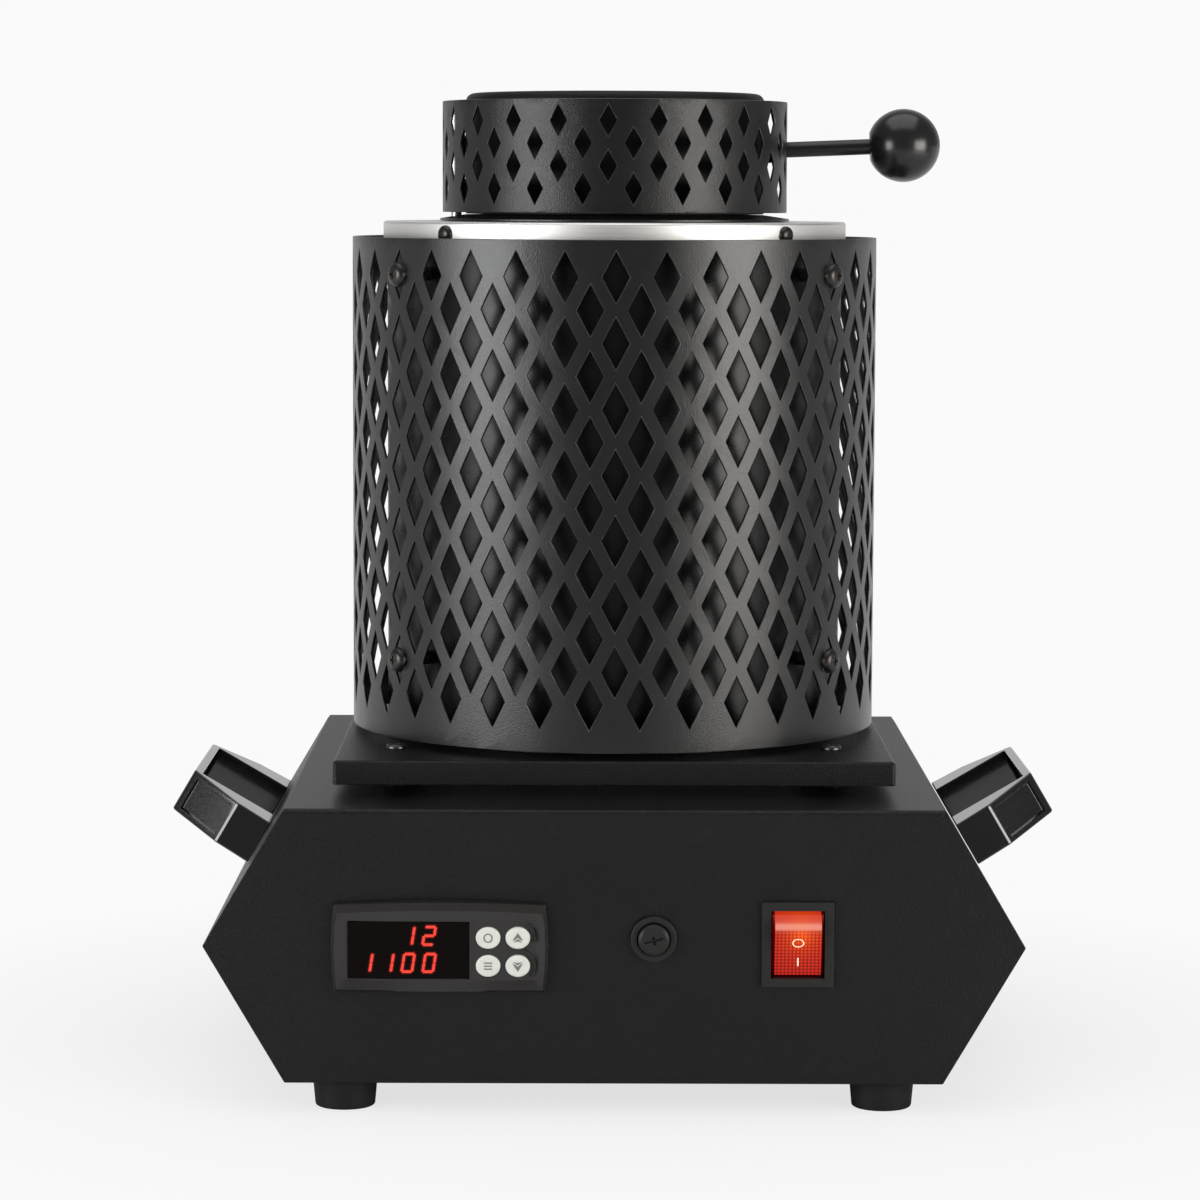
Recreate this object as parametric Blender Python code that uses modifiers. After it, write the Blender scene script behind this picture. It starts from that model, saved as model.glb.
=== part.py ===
"""Electric gold melting furnace, modelled as the assembly that it is.

A six-sided sheet casing holds the controls. On top of it a square tray carries a steel drum
with the ceramic chamber, wrapped by a shroud of cut diamonds. A lid swings on a pin at the left.
Metres, +Z up, front towards -Y. The origin is under the middle of the whole object, on the table.
"""

import math
from collections import namedtuple

import bmesh
import bpy
from mathutils import Matrix, Vector

# Fits and cuts shared by all the pieces
seat_gap = 0.0003
cut_overrun = 0.0020
weld_distance = 0.00002
crease_angle = math.radians(35)

# Base casing, a flat six-sided box of folded sheet
casing_width = 0.3000
casing_flat_width = 0.2406
casing_height = 0.1010
casing_depth = 0.2700
casing_sheet = 0.0012
casing_bend = 0.0020
side_lip = 0.0110

# Rubber feet
foot_height = 0.0115
foot_top_radius = 0.0120
foot_bottom_radius = 0.0110
foot_side_inset = 0.0213
foot_front_inset = 0.0170

# Moulded bridge handles on the upper slanted faces
handle_reach = 0.0357
handle_width = 0.0176
handle_grip_length = 0.0755
handle_knee_length = 0.1070
handle_foot_length = 0.1130
handle_knee_reach = 0.0150
handle_grip_wall = 0.0034
handle_opening_length = 0.0720
handle_corner = 0.0030
handle_pocket_rim = 0.0016
handle_pocket_depth = 0.0010

# Temperature controller at the left of the front
controller_x = -0.0635
controller_width = 0.0792
controller_height = 0.0322
controller_arch = 0.0013
controller_edge = 0.0022
controller_shoulder = 0.0036
controller_crown = 0.0046
controller_shoulder_run = 0.0060
controller_body_width = 0.0710
controller_body_height = 0.0280
controller_body_depth = 0.0600
window_x = -0.0112
window_y = -0.0005
window_width = 0.0441
window_height = 0.0208
window_thickness = 0.0016
key_group_x = 0.0231
key_group_y = -0.0010
key_pitch_x = 0.0108
key_pitch_y = 0.0103
key_width = 0.0090
key_height = 0.0081
key_depth = 0.0028
key_proud = 0.0012
key_travel = 0.0006

# Fuse holder in the middle of the front
fuse_x = 0.0144
fuse_y = 0.0033
fuse_flange_radius = 0.0084
fuse_flange_thickness = 0.0020
fuse_barrel_radius = 0.0071
fuse_barrel_length = 0.0340
fuse_cap_radius = 0.0057
fuse_cap_proud = 0.0026
fuse_cap_engagement = 0.0080
fuse_slot_width = 0.0012
fuse_slot_depth = 0.0010
fuse_slot_turn = math.radians(14)
fuse_link_radius = 0.0026
fuse_link_length = 0.0200

# Rocker switch at the right of the front
switch_x = 0.0668
switch_y = 0.0014
switch_bezel_width = 0.0263
switch_bezel_height = 0.0314
switch_bezel_thickness = 0.0018
switch_body_width = 0.0215
switch_body_height = 0.0270
switch_body_depth = 0.0200
switch_opening_width = 0.0196
switch_opening_height = 0.0249
switch_opening_depth = 0.0100
rocker_base_half = 0.0112
rocker_shoulder_half = 0.0117
rocker_crest_half = 0.0086
rocker_base_drop = 0.0040
rocker_shoulder_rise = 0.0005
rocker_crest_rise = 0.0056
rocker_valley_rise = 0.0049
rocker_pivot_depth = 0.0015
rocker_tilt = math.radians(13)

# Power inlet and air slots in the rear
inlet_x = -0.0650
inlet_flange_width = 0.0480
inlet_flange_height = 0.0230
inlet_flange_thickness = 0.0025
inlet_corner = 0.0050
inlet_body_width = 0.0270
inlet_body_height = 0.0198
inlet_body_depth = 0.0230
inlet_recess_width = 0.0240
inlet_recess_height = 0.0164
inlet_recess_depth = 0.0170
inlet_recess_chamfer = 0.0045
inlet_blade_width = 0.0020
inlet_blade_height = 0.0040
inlet_blade_length = 0.0130
inlet_blade_pitch = 0.0070
inlet_blade_drop = 0.0020
vent_count = 6
vent_width = 0.0030
vent_height = 0.0360
vent_pitch = 0.0110
vent_group_x = 0.0550

# Electrical parts on the bottom plate
relay_x = -0.0530
relay_y = 0.0550
relay_width = 0.0450
relay_depth = 0.0600
relay_height = 0.0230
terminal_x = 0.0400
terminal_y = 0.0500
terminal_width = 0.0400
terminal_depth = 0.0220
terminal_height = 0.0160

# Square tray under the drum, on threaded pillars of the casing
tray_width = 0.2084
tray_height = 0.0090
tray_sheet = 0.0012
tray_bend = 0.0018
tray_lift = 0.0047
tray_screw_x = 0.0822
tray_screw_y = 0.0702
tray_screw_head_radius = 0.0038
tray_screw_head_height = 0.0015
tray_screw_shank_radius = 0.0020
tray_pillar_radius = 0.0045

# Drum, its cap with a turned-down rim, and the collar round the mouth
drum_radius = 0.0884
drum_sheet = 0.0010
drum_above_shroud = 0.0045
cap_fit = 0.0004
cap_sheet = 0.0012
cap_rim_height = 0.0140
cap_bend = 0.0010
mouth_radius = 0.0375
cap_rivet_radius = 0.0034
cap_rivet_top_share = 0.60
cap_rivet_height = 0.0018
cap_rivet_drop = 0.0046
collar_radius = 0.0680
collar_edge = 0.0008
collar_height = 0.0023

# Shroud of cut diamonds, and the stud screws that hold it off the drum
shroud_radius = 0.1020
shroud_sheet = 0.0012
shroud_height = 0.1895
shroud_lift = 0.0025
shroud_columns = 34
shroud_rows = 14
shroud_diamond_width = 0.0102
shroud_diamond_height_share = 0.80
shroud_first_row = 0.0137
shroud_last_row = 0.0181
shroud_seam = 1
stud_head_radius = 0.0048
stud_head_height = 0.0027
stud_top_share = 0.80
stud_shank_radius = 0.0026
stud_column = 5
stud_rows = (0, 12)

# Ceramic chamber inside the drum
floor_height = 0.0300
muffle_radius = 0.0360
muffle_wall = 0.0050
coil_fit = 0.0004
coil_wire_radius = 0.0010
coil_turns = 3
coil_points_per_turn = 8
coil_end_margin = 0.0300
crucible_radius = 0.0305
crucible_base_radius = 0.0260
crucible_height = 0.1150
crucible_wall = 0.0075
crucible_floor = 0.0100
probe_radius = 0.0015
probe_length = 0.0900

# Lid that swings on a pin
lid_can_radius = 0.0580
lid_can_height = 0.0464
lid_can_sheet = 0.0012
lid_can_bend = 0.0022
lid_plug_height = 0.0300
lid_ring_radius = 0.0670
lid_ring_sheet = 0.0010
lid_ring_height = 0.0427
lid_ring_lift = 0.0006
lid_columns = 22
lid_rows = 4
lid_diamond_width = 0.0068
lid_diamond_height = 0.0123
lid_row_pitch = 0.0085
lid_first_row = 0.0081
lid_pattern_turn = math.radians(-2.5)
lid_seam = 1
pin_radius = 0.0020
pin_head_radius = 0.0032
pin_head_height = 0.0012
barrel_foot_lift = 0.0012
barrel_top_drop = 0.0050
rod_radius = 0.0030
rod_boss_radius = 0.0048
rod_rise = math.radians(2.3)
rod_drop = 0.0017
knob_radius = 0.01415
knob_distance = 0.1122
knob_neck_radius = 0.0055
knob_bore_depth = 0.0080

# Numbers of sides of the round pieces
sides_drum = 24
sides_lid = 20
sides_chamber = 12
sides_knob = 12
sides_small = 8
sides_key = 10
sides_bolt = 6


def apothem(radius, sides):
    """Distance from the axis to the middle of a flat on a many-sided round piece."""
    return radius * math.cos(math.pi / sides)


# Places that follow from the sizes above
side_slope_run = (casing_width - casing_flat_width) / 2
side_slope_normal = Vector((casing_height / 2, 0, side_slope_run)).normalized()
casing_top_z = foot_height + casing_height
tray_z = casing_top_z + tray_lift
tray_top_z = tray_z + tray_height
shroud_row_pitch = (shroud_height - shroud_first_row - shroud_last_row) / (shroud_rows - 1)
shroud_diamond_height = shroud_diamond_height_share * 2 * shroud_row_pitch
drum_z = tray_top_z + seat_gap
drum_height = shroud_lift + shroud_height + drum_above_shroud - seat_gap
cap_radius = drum_radius + cap_fit + cap_sheet
cap_under_z = drum_z + drum_height + seat_gap
cap_top_z = cap_under_z + cap_sheet
collar_z = cap_top_z + seat_gap
lid_z = collar_z + collar_height + seat_gap
lid_ring_z = lid_z + lid_ring_lift
lid_ring_top_z = lid_ring_z + lid_ring_height
shroud_z = tray_top_z + shroud_lift
chamber_z = drum_z + floor_height + seat_gap
rocker_reach = (
    rocker_crest_rise * math.cos(rocker_tilt)
    + rocker_crest_half * math.sin(rocker_tilt)
    - rocker_pivot_depth
)
casing_y = (rocker_reach - inlet_flange_thickness) / 2
lid_ring_inner_flat = apothem(lid_ring_radius - lid_ring_sheet, lid_columns)
barrel_radius = (lid_ring_inner_flat - lid_can_radius - 2 * seat_gap) / 2
pin_x = -(lid_can_radius + seat_gap + barrel_radius)
quarter_turn = math.radians(90)
half_turn = math.radians(180)

Pattern = namedtuple("Pattern", "columns rows width height pitch first_row seam")


def new_collection(name):
    collection = bpy.data.collections.new(name)
    bpy.context.scene.collection.children.link(collection)
    return collection


for old in list(bpy.data.objects):
    bpy.data.objects.remove(old, do_unlink=True)
furnace = new_collection("gold_melting_furnace")
cutters = new_collection("cutters")


def material(name, colour, roughness, metallic=0.0):
    finish = bpy.data.materials.new(name)
    finish.use_nodes = True
    surface = finish.node_tree.nodes["Principled BSDF"]
    surface.inputs["Base Color"].default_value = (*colour, 1.0)
    surface.inputs["Roughness"].default_value = roughness
    surface.inputs["Metallic"].default_value = metallic
    finish.diffuse_color = (*colour, 1.0)
    return finish


def move(x, y, z):
    return Matrix.Translation((x, y, z))


def spin(angle, axis="Z"):
    return Matrix.Rotation(angle, 4, axis)


def frame(name, place, parent=None):
    """An empty that carries pieces, at a place and turn of its own."""
    empty = bpy.data.objects.new(name, None)
    empty.parent = parent
    empty.matrix_local = place
    furnace.objects.link(empty)
    return empty


def add_piece(name, mesh, finish, parent, place=Matrix.Identity(4)):
    piece = bpy.data.objects.new(name, mesh)
    piece.parent = parent
    piece.matrix_local = place
    if not mesh.materials:
        mesh.materials.append(finish)
    furnace.objects.link(piece)
    return piece


def combine(piece, name, mesh, parent, place=Matrix.Identity(4), operation="DIFFERENCE"):
    """Cut a piece by a mesh, or join or trim it with one, by a live Boolean."""
    cutter = bpy.data.objects.new(name, mesh)
    cutter.parent = parent
    cutter.matrix_local = place
    cutter.hide_render = True
    cutter.display_type = "WIRE"
    cutters.objects.link(cutter)
    modifier = piece.modifiers.new(name, "BOOLEAN")
    modifier.operation = operation
    modifier.solver = "EXACT"
    modifier.object = cutter


def mesh_from(name, shape):
    mesh = bpy.data.meshes.new(name)
    shape.to_mesh(mesh)
    shape.free()
    return mesh


def box_mesh(name, size, centre=(0, 0, 0)):
    shape = bmesh.new()
    bmesh.ops.create_cube(shape, size=1, matrix=move(*centre) @ Matrix.Diagonal((*size, 1)))
    return mesh_from(name, shape)


def bars_mesh(name, radius, low, high, sides, spots=((0, 0),), top_radius=None):
    """Round bars along Z from low to high, at one or more (x, y) spots."""
    shape = bmesh.new()
    for x, y in spots:
        bmesh.ops.create_cone(
            shape,
            cap_ends=True,
            segments=sides,
            radius1=radius,
            radius2=radius if top_radius is None else top_radius,
            depth=high - low,
            matrix=move(x, y, (low + high) / 2),
        )
    return mesh_from(name, shape)


def oval_mesh(name, width, height, depth, centre):
    """An oval prism along Z, of the given full width and height."""
    shape = bmesh.new()
    bmesh.ops.create_cone(
        shape,
        cap_ends=True,
        segments=sides_key,
        radius1=1,
        radius2=1,
        depth=depth,
        matrix=move(*centre) @ Matrix.Diagonal((width / 2, height / 2, 1, 1)),
    )
    return mesh_from(name, shape)


def rounded(path, radius, steps):
    """The same open path with each inner corner replaced by an arc of the given radius."""
    points = [Vector(path[0])]
    for before, corner, after in zip(path, path[1:], path[2:]):
        corner = Vector(corner)
        into = (Vector(before) - corner).normalized()
        out = (Vector(after) - corner).normalized()
        half = into.angle(out) / 2
        centre = corner + (into + out).normalized() * (radius / math.sin(half))
        start = corner + into * (radius / math.tan(half)) - centre
        end = corner + out * (radius / math.tan(half)) - centre
        turn = start.angle_signed(end)
        for step in range(steps + 1):
            points.append(centre + Matrix.Rotation(-turn * step / steps, 2) @ start)
    points.append(Vector(path[-1]))
    return points


def rounded_rectangle(width, height, radius, steps):
    x, y = width / 2, height / 2
    return rounded([(0, -y), (x, -y), (x, y), (-x, y), (-x, -y), (0, -y)], radius, steps)[:-1]


def thicken(piece, sheet):
    """Give an open surface its thickness, on the inner side."""
    wall = piece.modifiers.new("sheet", "SOLIDIFY")
    wall.thickness = sheet
    wall.offset = -1
    wall.use_even_offset = True


def shade_round(mesh):
    mesh.shade_smooth()
    mesh.set_sharp_from_angle(angle=crease_angle)


def bake(piece):
    """Keep the modelled result as a plain mesh, shaded smooth between its creases."""
    bpy.context.view_layer.update()
    depsgraph = bpy.context.evaluated_depsgraph_get()
    mesh = bpy.data.meshes.new_from_object(piece.evaluated_get(depsgraph))
    mesh.name = piece.name
    piece.modifiers.clear()
    piece.data = mesh
    shade_round(mesh)


def turned(name, points, sides, finish, parent, place=Matrix.Identity(4), closed=False, sheet=0):
    """A profile of (radius, height) points, top to bottom on the outside, turned about Z."""
    shape = bmesh.new()
    corners = [shape.verts.new((radius, 0, height)) for radius, height in points]
    for pair in zip(corners, corners[1:]):
        shape.edges.new(pair)
    if closed:
        shape.edges.new((corners[-1], corners[0]))
    piece = add_piece(name, mesh_from(name, shape), finish, parent, place)
    screw = piece.modifiers.new("turn", "SCREW")
    screw.angle = math.tau
    screw.screw_offset = 0
    screw.steps = sides
    screw.render_steps = sides
    screw.use_merge_vertices = True
    screw.merge_threshold = weld_distance
    if sheet:
        thicken(piece, sheet)
    bake(piece)
    return piece


def folded(name, points, length, finish, parent, place=Matrix.Identity(4)):
    """A surface folded along a path in local XZ and long in Y, facing away from its middle."""
    shape = bmesh.new()
    corners = [shape.verts.new((point[0], -length / 2, point[1])) for point in points]
    edges = [shape.edges.new(pair) for pair in zip(corners, corners[1:])]
    grown = bmesh.ops.extrude_edge_only(shape, edges=edges)
    moved = [item for item in grown["geom"] if isinstance(item, bmesh.types.BMVert)]
    bmesh.ops.translate(shape, verts=moved, vec=(0, length, 0))
    bmesh.ops.recalc_face_normals(shape, faces=shape.faces[:])
    shape.normal_update()
    middle = sum((corner.co for corner in shape.verts), Vector()) / len(shape.verts)
    outward = sum(
        face.normal.dot(face.calc_center_median() - middle) * face.calc_area() for face in shape.faces
    )
    if outward < 0:
        bmesh.ops.reverse_faces(shape, faces=shape.faces[:])
    return add_piece(name, mesh_from(name, shape), finish, parent, place)


def mesh_of_curve(name, curve):
    """The curve's filled form as a closed mesh with its faces outward."""
    holder = bpy.data.objects.new(name, curve)
    furnace.objects.link(holder)
    bpy.context.view_layer.update()
    depsgraph = bpy.context.evaluated_depsgraph_get()
    mesh = bpy.data.meshes.new_from_object(holder.evaluated_get(depsgraph))
    bpy.data.objects.remove(holder)
    shape = bmesh.new()
    shape.from_mesh(mesh)
    bmesh.ops.remove_doubles(shape, verts=shape.verts[:], dist=weld_distance)
    bmesh.ops.recalc_face_normals(shape, faces=shape.faces[:])
    shape.to_mesh(mesh)
    shape.free()
    return mesh


def outline_mesh(name, points, thickness):
    """A flat outline in local XY, thickened evenly about Z."""
    curve = bpy.data.curves.new(name, "CURVE")
    curve.dimensions = "2D"
    curve.fill_mode = "BOTH"
    curve.extrude = thickness / 2
    spline = curve.splines.new("POLY")
    spline.points.add(len(points) - 1)
    for target, point in zip(spline.points, points):
        target.co = (point[0], point[1], 0, 1)
    spline.use_cyclic_u = True
    return mesh_of_curve(name, curve)


def wire_mesh(name, points, radius):
    """A thin wire along a path."""
    curve = bpy.data.curves.new(name, "CURVE")
    curve.dimensions = "3D"
    curve.bevel_depth = radius
    curve.bevel_resolution = 0
    curve.use_fill_caps = True
    spline = curve.splines.new("POLY")
    spline.points.add(len(points) - 1)
    for target, point in zip(spline.points, points):
        target.co = (*point, 1)
    return mesh_of_curve(name, curve)


def perforated(name, radius, sheet, height, pattern, finish, parent, place, side_hole=None):
    """A rolled sheet with staggered rows of diamonds and a plain seam at the back.

    It is cut where it stands upright and unturned, so that its flats stay exactly flat.
    """
    outer = bars_mesh(name, radius, 0, height, pattern.columns)
    piece = add_piece(name, outer, finish, None)
    bore = bars_mesh("bore", radius - sheet, -cut_overrun, height + cut_overrun, pattern.columns)
    combine(piece, "bore", bore, None)
    shape = bmesh.new()
    diamond = spin(quarter_turn, "Y") @ Matrix.Diagonal((pattern.height / 2, pattern.width / 2, 1, 1))
    for row in range(pattern.rows):
        z = height - pattern.first_row - row * pattern.pitch
        for column in range(pattern.columns):
            half_columns = 2 * column + row % 2
            if abs(half_columns - pattern.columns) <= pattern.seam:
                continue
            turn = spin(math.pi * half_columns / pattern.columns - quarter_turn)
            bmesh.ops.create_cone(
                shape,
                cap_ends=True,
                segments=4,
                radius1=1,
                radius2=1,
                depth=2 * (sheet + cut_overrun),
                matrix=turn @ move(radius, 0, z) @ diamond,
            )
    combine(piece, "diamonds", mesh_from("diamonds", shape), None)
    if side_hole:
        combine(piece, "side_hole", side_hole, None)
    joined = piece.modifiers.new("weld", "WELD")
    joined.merge_threshold = weld_distance
    bake(piece)
    for used in [cutter for cutter in cutters.objects if cutter.parent is None]:
        bpy.data.objects.remove(used)
    piece.parent = parent
    piece.matrix_local = place
    return piece


powder_black = material("powder_coat_black", (0.030, 0.030, 0.031), 0.55)
satin_black = material("satin_black_paint", (0.020, 0.020, 0.021), 0.38)
moulded_black = material("moulded_black", (0.012, 0.012, 0.013), 0.22)
controller_black = material("controller_black", (0.025, 0.025, 0.027), 0.40)
window_dark = material("display_window", (0.030, 0.006, 0.006), 0.10)
key_white = material("key_white", (0.700, 0.700, 0.660), 0.30)
rubber_black = material("rubber_black", (0.018, 0.018, 0.018), 0.80)
rocker_red = material("rocker_red", (0.450, 0.020, 0.015), 0.30)
fuse_glass = material("fuse_glass", (0.700, 0.720, 0.700), 0.10)
brushed_steel = material("brushed_steel", (0.620, 0.610, 0.590), 0.32, 1.0)
screw_steel = material("screw_steel", (0.560, 0.550, 0.530), 0.28, 1.0)
ceramic_white = material("ceramic_white", (0.780, 0.750, 0.690), 0.85)
fibre_white = material("ceramic_fibre", (0.850, 0.830, 0.790), 0.95)
coil_metal = material("coil_wire", (0.250, 0.220, 0.200), 0.50, 1.0)
graphite = material("graphite", (0.055, 0.055, 0.058), 0.45, 0.2)

base = frame("base_frame", move(0, casing_y, foot_height))
front = frame(
    "front_frame",
    move(0, -casing_depth / 2, casing_height / 2) @ spin(quarter_turn, "X"),
    base,
)
rear = frame(
    "rear_frame",
    move(0, casing_depth / 2, casing_height / 2) @ spin(half_turn) @ spin(quarter_turn, "X"),
    base,
)
tower = frame("tower_frame", move(0, 0, 0))
tray_spots = [
    (x_sign * tray_screw_x, y_sign * tray_screw_y) for y_sign in (-1, 1) for x_sign in (-1, 1)
]
corner_names = ("front_left", "front_right", "rear_left", "rear_right")


def side_x(height):
    """Half the width of the casing's outline at a height, also past its flats."""
    return casing_width / 2 - abs(height - casing_height / 2) * side_slope_run * 2 / casing_height


def build_casing_shell():
    """Front, top and rear in one folded sheet, trimmed to the six-sided outline."""
    half_depth = casing_depth / 2
    path = [(-half_depth, 0), (-half_depth, casing_height), (half_depth, casing_height), (half_depth, 0)]
    points = rounded(path, casing_bend, 2)
    length = casing_width + 2 * cut_overrun
    shell = folded("casing_shell", points, length, powder_black, base, spin(quarter_turn))
    thicken(shell, casing_sheet)
    low = -casing_height / 2 - cut_overrun
    flat = side_x(-cut_overrun)
    outline = [(flat, low), (casing_width / 2, 0), (flat, -low), (-flat, -low)]
    outline += [(-casing_width / 2, 0), (-flat, low)]
    trim = outline_mesh("casing_outline", outline, 2 * (casing_depth + cut_overrun))
    combine(shell, "casing_outline", trim, front, operation="INTERSECT")

    pillar_top = tray_top_z - tray_sheet - seat_gap
    pillar_foot = casing_top_z - casing_sheet / 2
    pillars = bars_mesh("pillars", tray_pillar_radius, pillar_foot, pillar_top, sides_bolt, tray_spots)
    combine(shell, "pillars", pillars, tower, operation="UNION")
    return shell


def cut_panel(shell, name, width, height, x, y, parent):
    """A rectangular opening in the front or the rear panel."""
    size = (width + 2 * seat_gap, height + 2 * seat_gap, 2 * (casing_sheet + cut_overrun))
    combine(shell, name, box_mesh(name, size, (x, y, 0)), parent)


def build_side_panels():
    """Sheets bent to a point, with lips under the top and over the bottom plate."""
    inner_depth = casing_depth - 2 * casing_bend
    top = casing_height - casing_sheet - seat_gap
    bottom = casing_sheet + seat_gap
    lip_x = casing_flat_width / 2 - side_lip
    path = [
        (lip_x, top),
        (side_x(top), top),
        (casing_width / 2, casing_height / 2),
        (side_x(bottom), bottom),
        (lip_x, bottom),
    ]
    for name, turn in (("side_panel_right", 0), ("side_panel_left", half_turn)):
        points = rounded(path, casing_bend, 1)
        panel = folded(name, points, inner_depth, powder_black, base, spin(turn))
        thicken(panel, casing_sheet)


def build_bottom_and_feet():
    inner_depth = casing_depth - 2 * (casing_sheet + seat_gap)
    size = (casing_flat_width, inner_depth, casing_sheet)
    plate = box_mesh("bottom_plate", size, (0, 0, casing_sheet / 2))
    add_piece("bottom_plate", plate, powder_black, base)
    x = casing_flat_width / 2 - foot_side_inset
    y = casing_depth / 2 - foot_front_inset
    spots = [(-x, -y), (x, -y), (-x, y), (x, y)]
    for name, spot in zip(corner_names, spots):
        foot = bars_mesh(
            "foot_" + name,
            foot_bottom_radius,
            -foot_height,
            -seat_gap,
            sides_small,
            top_radius=foot_top_radius,
        )
        shade_round(foot)
        add_piece("foot_" + name, foot, rubber_black, base, move(*spot, 0))


def build_handles():
    """One bridge moulding for each side, standing on the middle of the slanted face."""
    grip, knee = handle_grip_length / 2, handle_knee_length / 2
    foot, opening = handle_foot_length / 2, handle_opening_length / 2
    under_grip = handle_reach - handle_grip_wall
    outer = [
        (-foot, seat_gap),
        (-knee, handle_knee_reach),
        (-grip, handle_reach),
        (grip, handle_reach),
        (knee, handle_knee_reach),
        (foot, seat_gap),
    ]
    inner = [(opening, seat_gap), (opening, under_grip), (-opening, under_grip), (-opening, seat_gap)]
    outline = rounded(outer, handle_corner, 1) + rounded(inner, handle_corner / 2, 1)

    face_run = knee - grip
    face_rise = handle_reach - handle_knee_reach
    pocket_size = (
        math.hypot(face_run, face_rise) - 2 * handle_pocket_rim,
        2 * handle_pocket_depth,
        handle_width - 2 * handle_pocket_rim,
    )
    face_turn = math.atan2(face_rise, face_run)
    out = side_slope_normal
    along = Vector((0, 1, 0))
    axes = Matrix((along, out, along.cross(out))).transposed().to_4x4()
    middle = move((casing_width + casing_flat_width) / 4, 0, (casing_height + casing_height / 2) / 2)
    for name, turn in (("grip_handle_right", 0), ("grip_handle_left", half_turn)):
        holder = frame(name + "_frame", spin(turn) @ middle @ axes, base)
        handle = add_piece(name, outline_mesh(name, outline, handle_width), moulded_black, holder)
        for end, sign in (("front", -1), ("rear", 1)):
            label = name + "_pocket_" + end
            spot = move(sign * (grip + knee) / 2, (handle_reach + handle_knee_reach) / 2, 0)
            combine(handle, label, box_mesh(label, pocket_size), holder, spot @ spin(-sign * face_turn))


def build_controller():
    """Bezel with an arched top and a crowned face, on a body that passes through the panel."""
    holder = frame("controller_frame", move(controller_x, 0, 0), front)
    half = controller_width / 2
    shoulder_x = half - controller_shoulder_run
    plan = [
        (-half, seat_gap),
        (-half, controller_edge),
        (-shoulder_x, controller_shoulder),
        (0, controller_crown),
        (shoulder_x, controller_shoulder),
        (half, controller_edge),
        (half, seat_gap),
    ]
    tall = controller_height + 2 * (controller_arch + cut_overrun)
    case = add_piece(
        "controller_case",
        outline_mesh("controller_case", plan, tall),
        controller_black,
        holder,
        spin(quarter_turn, "X"),
    )
    top = controller_height / 2
    wide = half + cut_overrun
    face = [(-wide, -top), (wide, -top), (wide, top), (0, top + controller_arch), (-wide, top)]
    trim = outline_mesh("controller_face", face, 2 * (controller_crown + cut_overrun))
    combine(case, "controller_face", trim, holder, operation="INTERSECT")
    body_depth = controller_body_depth + controller_edge
    body = box_mesh(
        "controller_body",
        (controller_body_width, controller_body_height, body_depth),
        (0, 0, controller_edge - body_depth / 2),
    )
    combine(case, "controller_body", body, holder, operation="UNION")

    fit = 2 * seat_gap
    floor = controller_shoulder - window_thickness - seat_gap
    recess_depth = controller_crown - floor + cut_overrun
    recess = box_mesh(
        "window_recess",
        (window_width + fit, window_height + fit, recess_depth),
        (window_x, window_y, floor + recess_depth / 2),
    )
    combine(case, "window_recess", recess, holder)
    window = box_mesh(
        "controller_window",
        (window_width, window_height, window_thickness),
        (window_x, window_y, floor + seat_gap + window_thickness / 2),
    )
    add_piece("controller_window", window, window_dark, holder)

    key_top = controller_shoulder + key_proud
    well_floor = key_top - key_depth - key_travel - seat_gap
    well_depth = controller_crown - well_floor + cut_overrun
    for row, y_sign in (("upper", 1), ("lower", -1)):
        for column, x_sign in (("left", -1), ("right", 1)):
            label = "key_" + row + "_" + column
            x = key_group_x + x_sign * key_pitch_x / 2
            y = key_group_y + y_sign * key_pitch_y / 2
            well = oval_mesh(
                label + "_well",
                key_width + fit,
                key_height + fit,
                well_depth,
                (x, y, well_floor + well_depth / 2),
            )
            combine(case, label + "_well", well, holder)
            key = oval_mesh(label, key_width, key_height, key_depth, (0, 0, -key_depth / 2))
            shade_round(key)
            add_piece(label, key, key_white, holder, move(x, y, key_top))


def build_fuse_holder(shell):
    """Panel holder with a slotted cap that carries the fuse."""
    holder = frame("fuse_frame", move(fuse_x, fuse_y, 0), front)
    cap_bore = fuse_cap_radius + seat_gap
    link_bore = fuse_link_radius + seat_gap
    cap_floor = fuse_flange_thickness - fuse_cap_engagement
    link_top = cap_floor - 2 * seat_gap
    link_low = link_top - fuse_link_length
    profile = [
        (0, link_low - seat_gap),
        (link_bore, link_low - seat_gap),
        (link_bore, cap_floor - seat_gap),
        (cap_bore, cap_floor - seat_gap),
        (cap_bore, fuse_flange_thickness),
        (fuse_flange_radius, fuse_flange_thickness),
        (fuse_flange_radius, seat_gap),
        (fuse_barrel_radius, seat_gap),
        (fuse_barrel_radius, -fuse_barrel_length),
        (0, -fuse_barrel_length),
    ]
    turned("fuse_holder", profile, sides_small, moulded_black, holder)
    hole = bars_mesh(
        "fuse_hole", fuse_barrel_radius + seat_gap, -casing_sheet - cut_overrun, cut_overrun, sides_small
    )
    combine(shell, "fuse_hole", hole, holder)

    cap_top = fuse_flange_thickness + fuse_cap_proud
    cap = bars_mesh("fuse_cap", fuse_cap_radius, cap_floor, cap_top, sides_small)
    shade_round(cap)
    cap = add_piece("fuse_cap", cap, moulded_black, holder)
    slot = box_mesh("fuse_slot", (2 * cap_bore, fuse_slot_width, 2 * fuse_slot_depth))
    combine(cap, "fuse_slot", slot, holder, move(0, 0, cap_top) @ spin(fuse_slot_turn))
    link = bars_mesh("fuse_link", fuse_link_radius, link_low, link_top, sides_bolt)
    shade_round(link)
    add_piece("fuse_link", link, fuse_glass, holder)


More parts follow.
